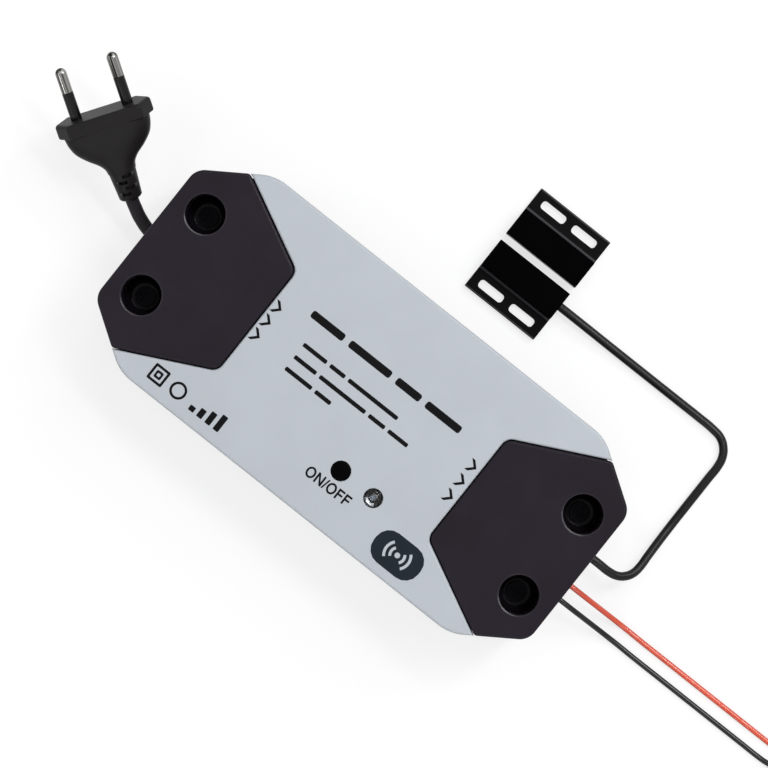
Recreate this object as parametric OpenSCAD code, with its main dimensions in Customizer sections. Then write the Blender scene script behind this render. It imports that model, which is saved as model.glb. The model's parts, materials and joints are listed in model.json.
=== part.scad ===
// Garage door controller: a wall-fed switch box with a reed sensor, a magnet and two output wires.
// Millimetres. The origin is the middle of the underside of the case, +X runs from the mains side
// to the output side and +Z is up.

/* [Case] */
// Length of the case
case_l = 190; // [180:1:220]
// Width of the case
case_w = 86; // [82:1:100]
// Height of the case
case_h = 44; // [40:1:60]
// Width of the flat end of the case
end_w = 55.6; // [50:0.2:60]
// How far the slanted corners reach along the case
corner_run = 22.7; // [18:0.1:26]
// Height of the seam between the tray and the shells above it
seam_h = 14; // [13:0.5:18]
// Thickness of the side walls
wall = 2.4; // [2:0.1:3]
// Thickness of the tray's floor
floor_t = 2.4; // [2:0.1:3]
// Thickness of the top plates
plate_t = 2.4; // [2:0.1:3]
// Rounding of the outer edges
edge_r = 1; // [0.5:0.1:1.4]
// Rounding of the corners at the flat ends
end_corner_r = 6.5; // [4:0.5:10]
// Rounding of the corners at the long sides
side_corner_r = 16; // [8:0.5:20]

/* [End caps] */
// Length of a cap along its middle
cap_run = 48.6; // [46:0.2:52]
// Width of a cap's inner edge
cap_inner_w = 43.2; // [38:0.2:46]
// Distance from the end of the case to a cap's side corner
cap_corner_run = 15.5; // [13:0.5:18]
// Rounding of a cap's inner corners
cap_inner_r = 3.9; // [2:0.1:6]
// Rounding of a cap's side corners
cap_side_r = 1.8; // [1.6:0.1:3]
// Gap between a cap and the cover
seam_gap = 0.4; // [0.2:0.1:0.8]
// Depth of the skirt along the seam between a cap and the cover
skirt_h = 8; // [4:0.5:10]

/* [Screw wells] */
// Bore of a screw well
well_d = 14; // [10:0.5:15]
// Wall of a screw well
well_wall = 1.8; // [1.2:0.1:2]
// Distance of the wells from the end of the case
well_inset = 12.2; // [11:0.1:13]
// Distance between the two wells of a cap
well_pitch = 35.4; // [34:0.2:37]
// Height of a well's floor above the underside
well_floor_h = 20; // [19:0.5:24]
// Thickness of a well's floor
well_floor_t = 2; // [1.5:0.1:2]
// Radius of the posts under the wells
post_r = 5; // [4:0.1:5]

/* [Button and indicator] */
// Place of the button along the case
button_x = 8.4; // [4:0.2:12]
// Place of the button across the case
button_y = -22.4; // [-24:0.2:-20]
// Diameter of the button
button_d = 6.6; // [5:0.1:7]
// Clearance round the button
button_gap = 0.25; // [0.15:0.05:0.4]
// Travel of the button
button_travel = 0.5; // [0.3:0.1:0.7]
// Place of the indicator along the case
lens_x = 22.9; // [20:0.1:26]
// Diameter of the indicator lens
lens_d = 6.4; // [5:0.1:7]
// Clearance round the lens
lens_gap = 0.2; // [0.1:0.05:0.3]

/* [Circuit board] */
// Gap between the circuit board's ends and the cable clamps
board_end_gap = 1.5; // [1:0.1:4]
// Gap between the circuit board's sides and the case posts
board_side_gap = 1; // [0.6:0.1:3]
// Thickness of the circuit board
board_t = 1.6; // [1:0.2:2]
// Height of the circuit board's underside
board_h = 8; // [6:0.5:9]
// Pitch of the terminals' poles
pole_pitch = 6.2; // [6:0.1:6.4]

/* [Cables] */
// Diameter of the mains lead
mains_d = 4.8; // [4:0.1:5]
// Diameter of the sensor cable
sensor_cable_d = 3.2; // [2.8:0.1:3.6]
// Diameter of an output wire
wire_d = 2; // [1.6:0.1:2.2]
// Clearance round a cable where it passes a wall or a clamp
cable_gap = 0.1; // [0.05:0.05:0.3]

/* [Plug] */
// Width of the plug's face
plug_w = 35.3; // [34:0.1:36]
// Thickness of the plug's face
plug_t = 13.7; // [13:0.1:14]
// Depth of the plug's front flange
plug_flange = 5.4; // [4:0.1:8]
// Length of the plug from the end of its relief to its face
plug_l = 33; // [31:0.5:38]
// Length of the plug's strain relief
relief_l = 10.6; // [10.2:0.2:12]
// Length of a pin in front of the face
pin_l = 19; // [18:0.5:20]
// Diameter of a pin
pin_d = 4; // [3.8:0.1:4.2]
// Distance between the pins
pin_pitch = 18.6; // [18:0.1:19.2]
// Length of a pin's insulating sleeve
sleeve_l = 10; // [8:0.5:11]
// Turn of the plug away from the case's length
plug_yaw = 33.8; // [33.8:0.1:33.8]
// Upward tilt of the plug
plug_tilt = 20; // [20:1:20]

/* [Sensor and magnet] */
// Length of the sensor and of the magnet half
sensor_l = 31.2; // [28:0.2:34]
// Width of each half
sensor_w = 20.6; // [18:0.2:22]
// Height of each half
sensor_h = 7; // [6.4:0.2:9]
// Width of the slotted flange
flange_w = 9.4; // [8:0.2:10]
// Thickness of the slotted flange
flange_t = 2.4; // [1.6:0.1:3]
// Length of a fixing slot
slot_l = 10.4; // [8:0.2:12]
// Width of a fixing slot
slot_w = 3.2; // [3:0.1:4]
// Distance between the slots' middles
slot_pitch = 13.8; // [13:0.1:15]
// Distance of the slots from the flange's outer edge
slot_inset = 4.2; // [3:0.1:5]
// Gap between the two halves
pair_gap = 2.8; // [2:0.1:6]
// Wall of each half
half_wall = 1.3; // [1:0.1:1.5]

/* [Hidden] */
$fn = 48;
arc_steps = 6;
edge_steps = 3;
fit = 0.05;
eps = 1;

// Colours
grey = [0.72, 0.75, 0.78];
charcoal = [0.18, 0.17, 0.19];
black = [0.05, 0.05, 0.06];
steel = [0.7, 0.7, 0.72];
green = [0.1, 0.42, 0.22];

// Outline of the case, counter-clockwise
half_l = case_l / 2;
half_w = case_w / 2;
side_x = half_l - corner_run;
corner_slope = (half_w - end_w / 2) / corner_run;
case_points = [
  [half_l, -end_w / 2], [half_l, end_w / 2], [side_x, half_w], [-side_x, half_w],
  [-half_l, end_w / 2], [-half_l, -end_w / 2], [-side_x, -half_w], [side_x, -half_w]
];
case_radii = [
  end_corner_r, end_corner_r, side_corner_r, side_corner_r,
  end_corner_r, end_corner_r, side_corner_r, side_corner_r
];

// Outline of the output end cap
cap_x = half_l - cap_run;
cap_corner_x = half_l - cap_corner_run;
cap_corner_y = end_w / 2 + cap_corner_run * corner_slope;
cap_points = [
  [half_l, -end_w / 2], [half_l, end_w / 2], [cap_corner_x, cap_corner_y],
  [cap_x, cap_inner_w / 2], [cap_x, -cap_inner_w / 2], [cap_corner_x, -cap_corner_y]
];
cap_radii = [end_corner_r, end_corner_r, cap_side_r, cap_inner_r, cap_inner_r, cap_side_r];

// Screws: radius and height of the head, radius of the shank
cap_screw = [3.6, 2.6, 1.9];
case_screw = [2.9, 2.2, 1.45];
board_screw = [2.3, 1.6, 1.15];
clamp_screw = [2.7, 2, 1.45];
pole_screw = [2.1, 1.6, 1.2];
shank_gap = 0.15;
recess_share = 0.6;
recess_w = 0.9;

// Wells and posts
well_x = half_l - well_inset;
well_y = well_pitch / 2;
post_h = well_floor_h - well_floor_t;
post_bore_h = 6;
case_post_x = 52;
case_post_r = 4.5;
case_post_y = half_w - wall - case_post_r + 0.4;
case_screw_sink = 5;
case_screw_l = 18;

// Clamps: the blocks that hold the cables, beside the wells
clamp_well_gap = 0.5;
clamp_l = 6;
clamp_t = 4;
clamp_split = 0.2;
clamp_rim = 3.2;
clamp_screw_l = 10;
clamp_x = well_x - well_d / 2 - well_wall - clamp_well_gap - clamp_l / 2;

// Circuit board, between the clamps and between the case posts
board_l = 2 * (clamp_x - clamp_l / 2 - board_end_gap);
board_w = 2 * (case_post_y - case_post_r - board_side_gap);
board_top = board_h + board_t;
standoff_x = board_l / 2 - 6;
standoff_y = board_w / 2 - 5;
standoff_r = 3.2;
standoff_bore_h = 3.4;

// Places on the board and sizes of what stands there
relay_at = [30, 8];
relay_size = [19.5, 15.5, 15.5];
rectifier_at = [-36, -20];
rectifier_size = [8.5, 6.5, 3.2];
bulk_capacitor_at = [-22, -15];
bulk_capacitor_r = 5;
bulk_capacitor_h = 16;
bulk_capacitor_groove = 0.4;
filter_capacitor_at = [-36, 22];
filter_capacitor_size = [17.5, 8, 14];
fuse_at = [-40, -8];
fuse_d = 8.5;
fuse_h = 8;
varistor_at = [-42, 8];
varistor_r = 4.5;
varistor_t = 4;
wireless_at = [6, 14];
wireless_size = [24, 16, 0.8];
shield_at = [3, 14];
shield_size = [15, 12, 2.4];

// Terminals
terminal_x = 46;
terminal_l = 12;
terminal_h = 13;
terminal_rim = 0.8;
entry_r = 1.9;
entry_l = 6;
pole_well_h = 3;

// Cables: places across the case, all at the height of the seam
mains_y = 0.8;
sensor_cable_y = 7.7;
red_y = -4.5;
black_y = red_y - pole_pitch;
output_cables = [[sensor_cable_y, sensor_cable_d / 2], [red_y, wire_d / 2], [black_y, wire_d / 2]];
mains_cables = [[mains_y, mains_d / 2]];
input_poles = [mains_y - pole_pitch / 2, mains_y + pole_pitch / 2];
output_poles = [for (k = [0:3]) black_y + k * pole_pitch];
pole_end_x = terminal_x + terminal_l - entry_l + 1;

// Places of the clamps' screws across the case
mains_clamp_y = [mains_y - 8, mains_y + 8];
output_clamp_y = [-16, 12.5];

// Button, switch and indicator
button_hole_r = button_d / 2 + button_gap;
button_guide_h = 4;
button_guide_r = 6;
button_flange_r = button_d / 2 + 1.2;
button_flange_t = 1.4;
button_flange_gap = 0.3;
button_stem_r = 2;
switch_w = 6;
switch_h = 4;
plunger_r = 1.7;
plunger_h = 2;
plunger_sink = 1.5;
plunger_gap = 0.2;
lens_y = button_y - 0.4;
lens_rim = 1;
lens_rim_t = 1.6;
lens_proud = 0.9;
lens_dome_sink = 0.6;
led_r = 2.5;
led_rim_r = 2.9;
led_h = 6;
led_gap = 0.6;

// Plug
plug_step = 2.4;
relief_r = 4.1;
neck_r = 5.1;
relief_bore_h = 8;
pin_core_r = pin_d / 2 - 0.45;
pin_root = 8;
plug_flat = 26.1;
// Length share, half width and half thickness of the plug's body behind its flange
plug_sections = [
  [0, neck_r, neck_r - 0.1], [0.12, 5.6, 5.1], [0.26, 7.4, 5.2], [0.42, 10.6, 5.4],
  [0.62, 13.6, 5.8], [0.82, 14.9, 6], [1, plug_w / 2 - plug_step, plug_t / 2 - 0.8]
];
slit_w = 1.3;
slit_pitch = 2.2;
slit_start = 2;
slit_offset = 0.3;
slit_core = 0.5;

// Place of the plug's relief end
plug_place = [-108.6, 6.3, 16.5];

// Sensor and magnet places
sensor_x = 2;
sensor_y = 55.4;
magnet_y = sensor_y + 2 * sensor_w + pair_gap;
body_w = sensor_w - flange_w;
body_mid_y = sensor_y + flange_w + body_w / 2;
pocket_h = sensor_h - 1.4;
pocket_w = body_w - 2 * half_wall;
pocket_l = sensor_l - 2 * half_wall;
fill_gap = 0.05;
ramp_w = 0.9;
ramp_h = 1.6;
capsule_r = 1.3;
capsule_l = 15;
capsule_z = 3.5;
magnet_l = 20;
magnet_w = 6;
magnet_h = 4;
cable_room = 4;

// Routes of the free cables, each point chosen by hand
mains_route = [
  [-66, 0.8, 14], [-72, 0.8, 14], [-80, 0.8, 14], [-88, 0.8, 14], [-93, 0.8, 14], [-96, 0.9, 14],
  [-98.4, 1.4, 14.2], [-100.8, 2.2, 14.5], [-103.2, 3.2, 15], [-105.4, 4.4, 15.5],
  [-107.2, 5.4, 16], [-108.6, 6.3, 16.5], [-114.8, 10.5, 19.2]
];
sensor_route = [
  [66, 7.7, 14], [74, 7.7, 14], [82, 7.7, 14], [90, 7.7, 14], [96, 7.7, 14], [100.2, 7.7, 13.7],
  [104.3, 7.7, 12.8], [107.4, 8.3, 11.7], [110, 10, 10.5], [111.7, 12.6, 9.2], [112.3, 15.7, 7.8],
  [112.3, 20, 5.9], [112.3, 25, 3.9], [112.3, 30, 2.5], [112.3, 36, 1.7], [112.3, 43, 1.6],
  [112.3, 50, 1.6], [112.3, 56, 1.6], [112.3, 61, 1.6], [111.6, 64.4, 1.6], [109.6, 67.5, 1.6],
  [106.7, 69.5, 1.6], [103, 70.2, 1.6],
  [96, 70.4, 1.6], [88, 70.4, 1.6], [80, 70.4, 1.6], [72, 70.4, 1.6], [64, 70.4, 1.7],
  [56, 70.4, 2.1], [49, 70.4, 2.8], [43, 70.4, 3.3], [38, 70.4, 3.5], [33, 70.4, 3.5],
  [29.4, 70.4, 3.5]
];
red_route = [
  [53, -4.5, 14], [66, -4.5, 14], [74, -4.5, 14], [82, -4.5, 14], [90, -4.5, 14], [96, -4.5, 14],
  [99, -4.5, 13.7], [102, -4.5, 12.8], [105, -4.5, 11.2], [108, -4.5, 9], [111, -4.5, 6.6],
  [114, -4.5, 4.4], [117, -4.5, 2.7], [120, -4.5, 1.6], [124, -4.5, 1.1], [130, -4.6, 1],
  [138, -4.6, 1], [148, -4.6, 1], [158, -4.6, 1], [168, -4.6, 1], [178, -4.6, 1], [188, -4.6, 1],
  [196, -4.6, 1.1], [202, -4.6, 1.5], [207, -4.6, 1.9], [210, -4.6, 1.9]
];
black_route = [
  [53, -10.7, 14], [66, -10.7, 14], [74, -10.7, 14], [82, -10.7, 14], [90, -10.7, 14],
  [96, -10.7, 14], [99, -10.7, 13.7], [102, -10.7, 12.8], [105, -10.7, 11.2], [108, -10.7, 9],
  [111, -10.7, 6.6], [114, -10.7, 4.4], [117, -10.7, 2.7], [120, -10.7, 1.6], [124, -10.7, 1.1],
  [130, -10.8, 1], [140, -10.8, 1], [150, -10.8, 1], [160, -10.8, 1], [170, -10.8, 1],
  [180, -10.8, 1], [187, -10.8, 1.1], [191, -10.6, 1.5], [195, -9.7, 2.6], [199, -8, 4.2],
  [203, -6.2, 5.8], [207, -4.8, 6.8], [210, -4.6, 6.9]
];

// Coils of the two wires, one on the other
coil_x = 212;
coil_turns = 3;
coil_pitch = wire_d + 0.5;
coil_inner_r = 7.25;
coil_outer_r = coil_inner_r + coil_turns * coil_pitch;
coil_y = red_route[len(red_route) - 1][1] + coil_outer_r;
coil_rings = 24;
coil_tail = 10;
tie_t = 0.6;
tie_w = 3;
tie_gap = 0.4;
tip_l = 6;
tip_r = wire_d / 2 - 0.4;

// Cores inside the case, from the inner ends of the sheathed cables
lead_end_x = sensor_route[0][0];
core_r = 0.9;
thin_core_r = 0.5;
core_gap = 0.1;
core_sides = 8;
coil_sides = 6;

// Rounded outlines
function unit(v) = v / norm(v);
function corner_arc(p, r, k, inset) =
  let (
    n = len(p),
    a = unit(p[k] - p[(k + n - 1) % n]),
    b = unit(p[(k + 1) % n] - p[k]),
    in_a = [-a[1], a[0]],
    in_b = [-b[1], b[0]],
    middle = p[k] + r * (in_a + in_b) / (1 + in_a * in_b),
    start = atan2(-in_a[1], -in_a[0]),
    sweep = acos(in_a * in_b)
  )
  [for (i = [0:arc_steps])
    let (at = start + sweep * i / arc_steps)
    middle + (r - inset) * [cos(at), sin(at)]];
function outline(p, r, inset = 0) = [for (k = [0:len(p) - 1]) each corner_arc(p, r[k], k, inset)];
function at_least(r, least) = [for (x = r) max(x, least)];

// Rings, each [height, inset], of a plate with rounded lower and upper edges
function edge_ring(r, i) = let (t = 90 * i / edge_steps) [r * (1 - cos(t)), r * (1 - sin(t))];
function edge_rings(z0, z1, low, high) = concat(
  low > 0 ? [for (i = [0:edge_steps]) [z0, 0] + edge_ring(low, i)] : [[z0, 0]],
  high > 0
    ? [for (i = [edge_steps:-1:0]) let (ring = edge_ring(high, i)) [z1 - ring[0], ring[1]]]
    : [[z1, 0]]
);

// Triangles between rings of n points, and the two end faces
function skin_faces(rings, n) = concat(
  [[for (i = [0:n - 1]) i]],
  [for (j = [0:rings - 2], i = [0:n - 1])
    let (a = j * n + i, b = j * n + (i + 1) % n)
    each [[a, a + n, b + n], [a, b + n, b]]],
  [[for (i = [0:n - 1]) rings * n - 1 - i]]
);

module slab(p, r, z0, z1, low, high) {
  rings = edge_rings(z0, z1, low, high);
  count = len(outline(p, r));
  points = [for (ring = rings) each [for (q = outline(p, r, ring[1])) [q[0], q[1], ring[0]]]];
  polyhedron(points, skin_faces(len(rings), count), convexity = 6);
}

module case_prism(inset, z0, z1) {
  translate([0, 0, z0]) linear_extrude(z1 - z0) polygon(outline(case_points, case_radii, inset));
}

module cap_prism(grow, z0, z1) {
  radii = at_least(cap_radii, 0.5 - grow);
  translate([0, 0, z0]) linear_extrude(z1 - z0) polygon(outline(cap_points, radii, -grow));
}

module both_ends() {
  children();
  mirror([1, 0, 0]) children();
}

module four_places(x, y) {
  for (sx = [-1, 1], sy = [-1, 1]) translate([sx * x, sy * y, 0]) children();
}

// Tubes along a route
function route_way(p, i) = unit(p[min(i + 1, len(p) - 1)] - p[max(i - 1, 0)]);
function ring_points(at, way, r, sides) =
  let (across = unit(cross(way, [0, 0, 1])), up = cross(across, way))
  [for (s = [0:sides - 1]) at + r * (cos(360 * s / sides) * across + sin(360 * s / sides) * up)];
function tube_faces(rings, n) = concat(
  [[for (i = [0:n - 1]) n - 1 - i]],
  [for (j = [0:rings - 2], i = [0:n - 1])
    let (a = j * n + i, b = j * n + (i + 1) % n)
    each [[a, b, b + n], [a, b + n, a + n]]],
  [[for (i = [0:n - 1]) (rings - 1) * n + i]]
);

module tube(route, r, sides) {
  points = [for (i = [0:len(route) - 1]) each ring_points(route[i], route_way(route, i), r, sides)];
  polyhedron(points, tube_faces(len(route), sides), convexity = 10);
}

// A wire coiled inwards on one layer and outwards on the next, with straight ends
function smooth(t) = let (c = max(0, min(1, t))) c * c * (3 - 2 * c);
function coil_point(a, z) =
  let (
    middle = 360 * coil_turns,
    r = coil_inner_r + coil_pitch * abs(a - middle) / 360,
    rise = coil_pitch * smooth((a - middle + 90) / 180)
  )
  [coil_x + r * sin(a), coil_y - r * cos(a), z + rise];
function coil_route(z) =
  let (
    turns = [for (i = [0:2 * coil_turns * coil_rings]) coil_point(i * 360 / coil_rings, z)],
    last = turns[len(turns) - 1]
  )
  concat([turns[0] - [wire_d, 0, 0]], turns, [last + [wire_d, 0, 0], last + [coil_tail, 0, 0]]);
function least_gap(p) = min([
  for (i = [0:len(p) - 1 - coil_rings / 2], j = [i + coil_rings / 2:len(p) - 1]) norm(p[i] - p[j]) - wire_d
]);

red_coil_z = tie_t + tie_gap + wire_d / 2 - 0.1;
black_coil_z = red_coil_z + 2 * coil_pitch;
coil_top = black_coil_z + coil_pitch + wire_d / 2;
echo(red_coil_least_gap = least_gap(coil_route(red_coil_z)));
echo(black_coil_least_gap = least_gap(coil_route(black_coil_z)));

// A screw standing head up, with the underside of its head at the origin
module screw(kind, shank_l) {
  difference() {
    union() {
      cylinder(r = kind[0], h = kind[1]);
      translate([0, 0, -shank_l]) cylinder(r = kind[2], h = shank_l);
    }
    for (a = [0, 90]) rotate(a) translate([0, 0, kind[1]])
      cube([2 * kind[0] * recess_share, recess_w, kind[1]], center = true);
  }
}

// Passages of cables through walls and clamps, towards +X
module passages(cables, from_x, to_x) {
  for (c = cables) translate([from_x, c[0], seam_h]) rotate([0, 90, 0])
    cylinder(r = c[1] + cable_gap, h = to_x - from_x);
}

// The block under a cable clamp, towards +X
module saddle(places) {
  translate([clamp_x - clamp_l / 2, places[0] - clamp_rim, floor_t - eps])
    cube([clamp_l, places[1] - places[0] + 2 * clamp_rim, seam_h - clamp_split - floor_t + eps]);
}

module clamp_bores(places, r, z0, z1) {
  for (y = places) translate([clamp_x, y, z0]) cylinder(r = r, h = z1 - z0);
}

module clamp(places, cables) {
  difference() {
    translate([clamp_x - clamp_l / 2, places[0] - clamp_rim, seam_h + clamp_split])
      cube([clamp_l, places[1] - places[0] + 2 * clamp_rim, clamp_t - clamp_split]);
    passages(cables, clamp_x - clamp_l, clamp_x + clamp_l);
    clamp_bores(places, clamp_screw[2] + shank_gap, seam_h - eps, seam_h + clamp_t + eps);
  }
}

module base_tray() {
  clamp_bore_z = seam_h + clamp_t - clamp_screw_l;
  color(charcoal) difference() {
    union() {
      difference() {
        slab(case_points, case_radii, 0, seam_h, edge_r, 0);
        case_prism(wall, floor_t, seam_h + eps);
      }
      four_places(well_x, well_y) translate([0, 0, floor_t - eps])
        cylinder(r = post_r, h = post_h - floor_t + eps);
      four_places(case_post_x, case_post_y) translate([0, 0, eps])
        cylinder(r = case_post_r, h = seam_h - eps);
      four_places(standoff_x, standoff_y) translate([0, 0, floor_t - eps])
        cylinder(r = standoff_r, h = board_h - floor_t + eps);
      saddle(output_clamp_y);
      mirror([1, 0, 0]) saddle(mains_clamp_y);
    }
    four_places(well_x, well_y) translate([0, 0, post_bore_h]) cylinder(r = cap_screw[2] + fit, h = case_h);
    four_places(case_post_x, case_post_y) {
      translate([0, 0, -eps]) cylinder(r = case_screw[2] + shank_gap, h = case_h);
      translate([0, 0, -eps]) cylinder(r = case_screw[0] + shank_gap, h = case_screw_sink + eps);
    }
    four_places(standoff_x, standoff_y) translate([0, 0, standoff_bore_h])
      cylinder(r = board_screw[2] + fit, h = case_h);
    clamp_bores(output_clamp_y, clamp_screw[2] + fit, clamp_bore_z, case_h);
    mirror([1, 0, 0]) clamp_bores(mains_clamp_y, clamp_screw[2] + fit, clamp_bore_z, case_h);
    passages(output_cables, clamp_x - clamp_l, half_l + eps);
    mirror([1, 0, 0]) passages(mains_cables, clamp_x - clamp_l, half_l + eps);
  }
}

module top_cover() {
  color(grey) difference() {
    union() {
      difference() {
        slab(case_points, case_radii, seam_h, case_h, 0, edge_r);
        case_prism(wall, seam_h - eps, case_h - skirt_h);
        difference() {
          case_prism(wall, case_h - skirt_h - eps, case_h - plate_t);
          both_ends() cap_prism(seam_gap + wall, seam_h, case_h);
        }
      }
      four_places(case_post_x, case_post_y) translate([0, 0, seam_h])
        cylinder(r = case_post_r, h = case_h - seam_h - eps);
      translate([button_x, button_y, case_h - plate_t - button_guide_h])
        cylinder(r = button_guide_r, h = button_guide_h + eps);
    }
    both_ends() cap_prism(seam_gap, seam_h - eps, case_h + eps);
    four_places(case_post_x, case_post_y) translate([0, 0, seam_h - eps])
      cylinder(r = case_screw[2] + fit, h = case_screw_l + eps);
    translate([button_x, button_y, 0]) cylinder(r = button_hole_r, h = case_h + eps);
    translate([lens_x, lens_y, 0]) cylinder(r = lens_d / 2 + lens_gap, h = case_h + eps);
  }
}

// The output side's cap, with the passages of its cables
module end_cap(cables) {
  difference() {
    union() {
      difference() {
        slab(cap_points, cap_radii, seam_h, case_h, 0, edge_r);
        case_prism(wall, seam_h - eps, case_h - skirt_h);
        cap_prism(-wall, case_h - skirt_h - eps, case_h - plate_t);
      }
      for (s = [-1, 1]) translate([well_x, s * well_y, post_h])
        cylinder(r = well_d / 2 + well_wall, h = case_h - plate_t / 2 - post_h);
    }
    for (s = [-1, 1]) translate([well_x, s * well_y, 0]) {
      translate([0, 0, well_floor_h]) cylinder(d = well_d, h = case_h);
      cylinder(r = cap_screw[2] + shank_gap, h = case_h);
    }
    passages(cables, half_l - 2 * wall, half_l + eps);
  }
}

module input_end_cap() {
  color(charcoal) mirror([1, 0, 0]) end_cap(mains_cables);
}

module output_end_cap() {
  color(charcoal) end_cap(output_cables);
}

module cap_screws() {
  color(black) four_places(well_x, well_y) translate([0, 0, well_floor_h])
    screw(cap_screw, well_floor_h - post_bore_h - eps);
}

module case_screws() {
  color(steel) four_places(case_post_x, case_post_y) translate([0, 0, case_screw_sink]) rotate([180, 0, 0])
    screw(case_screw, seam_h + case_screw_l - case_screw_sink - eps);
}

// Heights of the button's pieces
switch_top = board_top + switch_h;
plunger_top = switch_top + plunger_h;
button_flange_top = case_h - plate_t - button_guide_h - button_flange_gap;

module button_cap() {
  color(black) translate([button_x, button_y, 0]) {
    translate([0, 0, plunger_top]) cylinder(r = button_stem_r, h = button_flange_top - plunger_top);
    translate([0, 0, button_flange_top - button_flange_t]) cylinder(r = button_flange_r, h = button_flange_t);
    translate([0, 0, button_flange_top - eps]) rotate_extrude()
      polygon([
        [0, 0], [button_d / 2, 0], [button_d / 2, case_h - button_flange_top + eps - 0.5],
        [button_d / 2 - 0.5, case_h - button_flange_top + eps], [0, case_h - button_flange_top + eps]
      ]);
  }
}

module tact_switch() {
  color(black) translate([button_x, button_y, board_top]) difference() {
    translate([-switch_w / 2, -switch_w / 2, 0]) cube([switch_w, switch_w, switch_h]);
    translate([0, 0, switch_h - plunger_sink - button_travel - plunger_gap])
      cylinder(r = plunger_r + plunger_gap, h = switch_h);
  }
}

module tact_plunger() {
  color([0.7, 0.15, 0.1]) translate([button_x, button_y, switch_top - plunger_sink])
    cylinder(r = plunger_r, h = plunger_h + plunger_sink);
}

module indicator_lens() {
  r = lens_d / 2;
  dome_h = lens_proud + lens_dome_sink;
  color([0.4, 0.42, 0.45, 0.6]) translate([lens_x, lens_y, case_h - plate_t]) rotate_extrude()
    polygon(concat(
      [[0, -lens_rim_t], [r + lens_rim, -lens_rim_t], [r + lens_rim, 0], [r, 0]],
      [for (t = [0:11.25:90]) [r * cos(t), plate_t - lens_dome_sink + dome_h * sin(t)]]
    ));
}

led_top = case_h - plate_t - lens_rim_t - led_gap;

module status_led() {
  color([0.85, 0.9, 0.95]) translate([lens_x, lens_y, led_top - led_h]) {
    cylinder(r = led_rim_r, h = 1);
    cylinder(r = led_r, h = led_h - led_r);
    translate([0, 0, led_h - led_r]) sphere(r = led_r);
  }
}

module led_spacer() {
  color(black) translate([lens_x, lens_y, board_top]) difference() {
    cylinder(r = led_rim_r, h = led_top - led_h - board_top);
    translate([0, 0, -eps]) cylinder(r = led_rim_r - 1.2, h = case_h);
  }
}

module circuit_board() {
  color(green) difference() {
    translate([-board_l / 2, -board_w / 2, board_h]) cube([board_l, board_w, board_t]);
    four_places(standoff_x, standoff_y) cylinder(r = board_screw[2] + shank_gap, h = case_h);
  }
}

module board_screws() {
  color(steel) four_places(standoff_x, standoff_y) translate([0, 0, board_top])
    screw(board_screw, board_top - standoff_bore_h - 0.5);
}

// A terminal block towards +X with a pole at each place across
module terminal(poles) {
  first = poles[0] - pole_pitch / 2 - terminal_rim;
  last = poles[len(poles) - 1] + pole_pitch / 2 + terminal_rim;
  difference() {
    translate([terminal_x, first, board_top]) cube([terminal_l, last - first, terminal_h]);
    for (y = poles) {
      translate([terminal_x + terminal_l - entry_l, y, seam_h]) rotate([0, 90, 0])
        cylinder(r = entry_r, h = entry_l + eps);
      translate([terminal_x + terminal_l / 2, y, board_top + terminal_h - pole_well_h])
        cylinder(r = pole_screw[0] + shank_gap, h = pole_well_h + eps);
      translate([terminal_x + terminal_l / 2, y, seam_h]) cylinder(r = pole_screw[2] + fit, h = terminal_h);
    }
  }
}

module input_terminal() {
  color([0.15, 0.45, 0.25]) mirror([1, 0, 0]) terminal(input_poles);
}

module output_terminal() {
  color([0.15, 0.45, 0.25]) terminal(output_poles);
}

module terminal_screws() {
  z = board_top + terminal_h - pole_well_h;
  shank = z - seam_h - entry_r;
  color(steel) {
    for (y = output_poles) translate([terminal_x + terminal_l / 2, y, z]) screw(pole_screw, shank);
    for (y = input_poles) translate([-terminal_x - terminal_l / 2, y, z]) screw(pole_screw, shank);
  }
}

// A block standing on the board
module on_board(at, size) {
  translate([at[0] - size[0] / 2, at[1] - size[1] / 2, board_top]) cube(size);
}

module relay() {
  color([0.1, 0.25, 0.6]) on_board(relay_at, relay_size);
}

// Transformer: a core with two windows and a winding round its middle leg
transformer_at = [-22, 6];
core_size = [22, 14, 18];
core_leg = 6;
core_window = [5, 12];
winding_gap = 0.3;

module transformer_core() {
  color([0.25, 0.25, 0.26]) difference() {
    on_board(transformer_at, core_size);
    for (s = [-1, 1])
      translate([
        transformer_at[0] + s * (core_leg + core_window[0]) / 2 - core_window[0] / 2,
        transformer_at[1] - core_size[1],
        board_top + (core_size[2] - core_window[1]) / 2
      ]) cube([core_window[0], 2 * core_size[1], core_window[1]]);
  }
}

module transformer_winding() {
  inner = [core_leg + 2 * winding_gap, core_size[1] + 2 * winding_gap];
  outer = inner + 2 * (core_window[0] - 2 * winding_gap) * [1, 1];
  h = core_window[1] - 2 * winding_gap;
  color([0.85, 0.65, 0.15])
    translate([transformer_at[0], transformer_at[1], board_top + (core_size[2] - h) / 2])
      linear_extrude(h) difference() {
        square(outer, center = true);
        square(inner, center = true);
      }
}

module rectifier() {
  color(black) on_board(rectifier_at, rectifier_size);
}

module bulk_capacitor() {
  r = bulk_capacitor_r;
  g = bulk_capacitor_groove;
  h = bulk_capacitor_h;
  color([0.12, 0.14, 0.3]) translate([bulk_capacitor_at[0], bulk_capacitor_at[1], board_top]) rotate_extrude()
    polygon([[0, 0], [r, 0], [r, 5 * g], [r - g, 6 * g], [r, 7 * g], [r, h - g], [r - g, h], [0, h]]);
}

module filter_capacitor() {
  color([0.85, 0.75, 0.2]) on_board(filter_capacitor_at, filter_capacitor_size);
}

module fuse() {
  color([0.35, 0.2, 0.12]) translate([fuse_at[0], fuse_at[1], board_top]) cylinder(d = fuse_d, h = fuse_h);
}

module varistor() {
  color([0.15, 0.35, 0.6]) translate([varistor_at[0], varistor_at[1], board_top + varistor_r])
    rotate([0, 90, 0]) cylinder(r = varistor_r, h = varistor_t, center = true);
}

module wireless_board() {
  color([0.08, 0.2, 0.4]) on_board(wireless_at, wireless_size);
}

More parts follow.
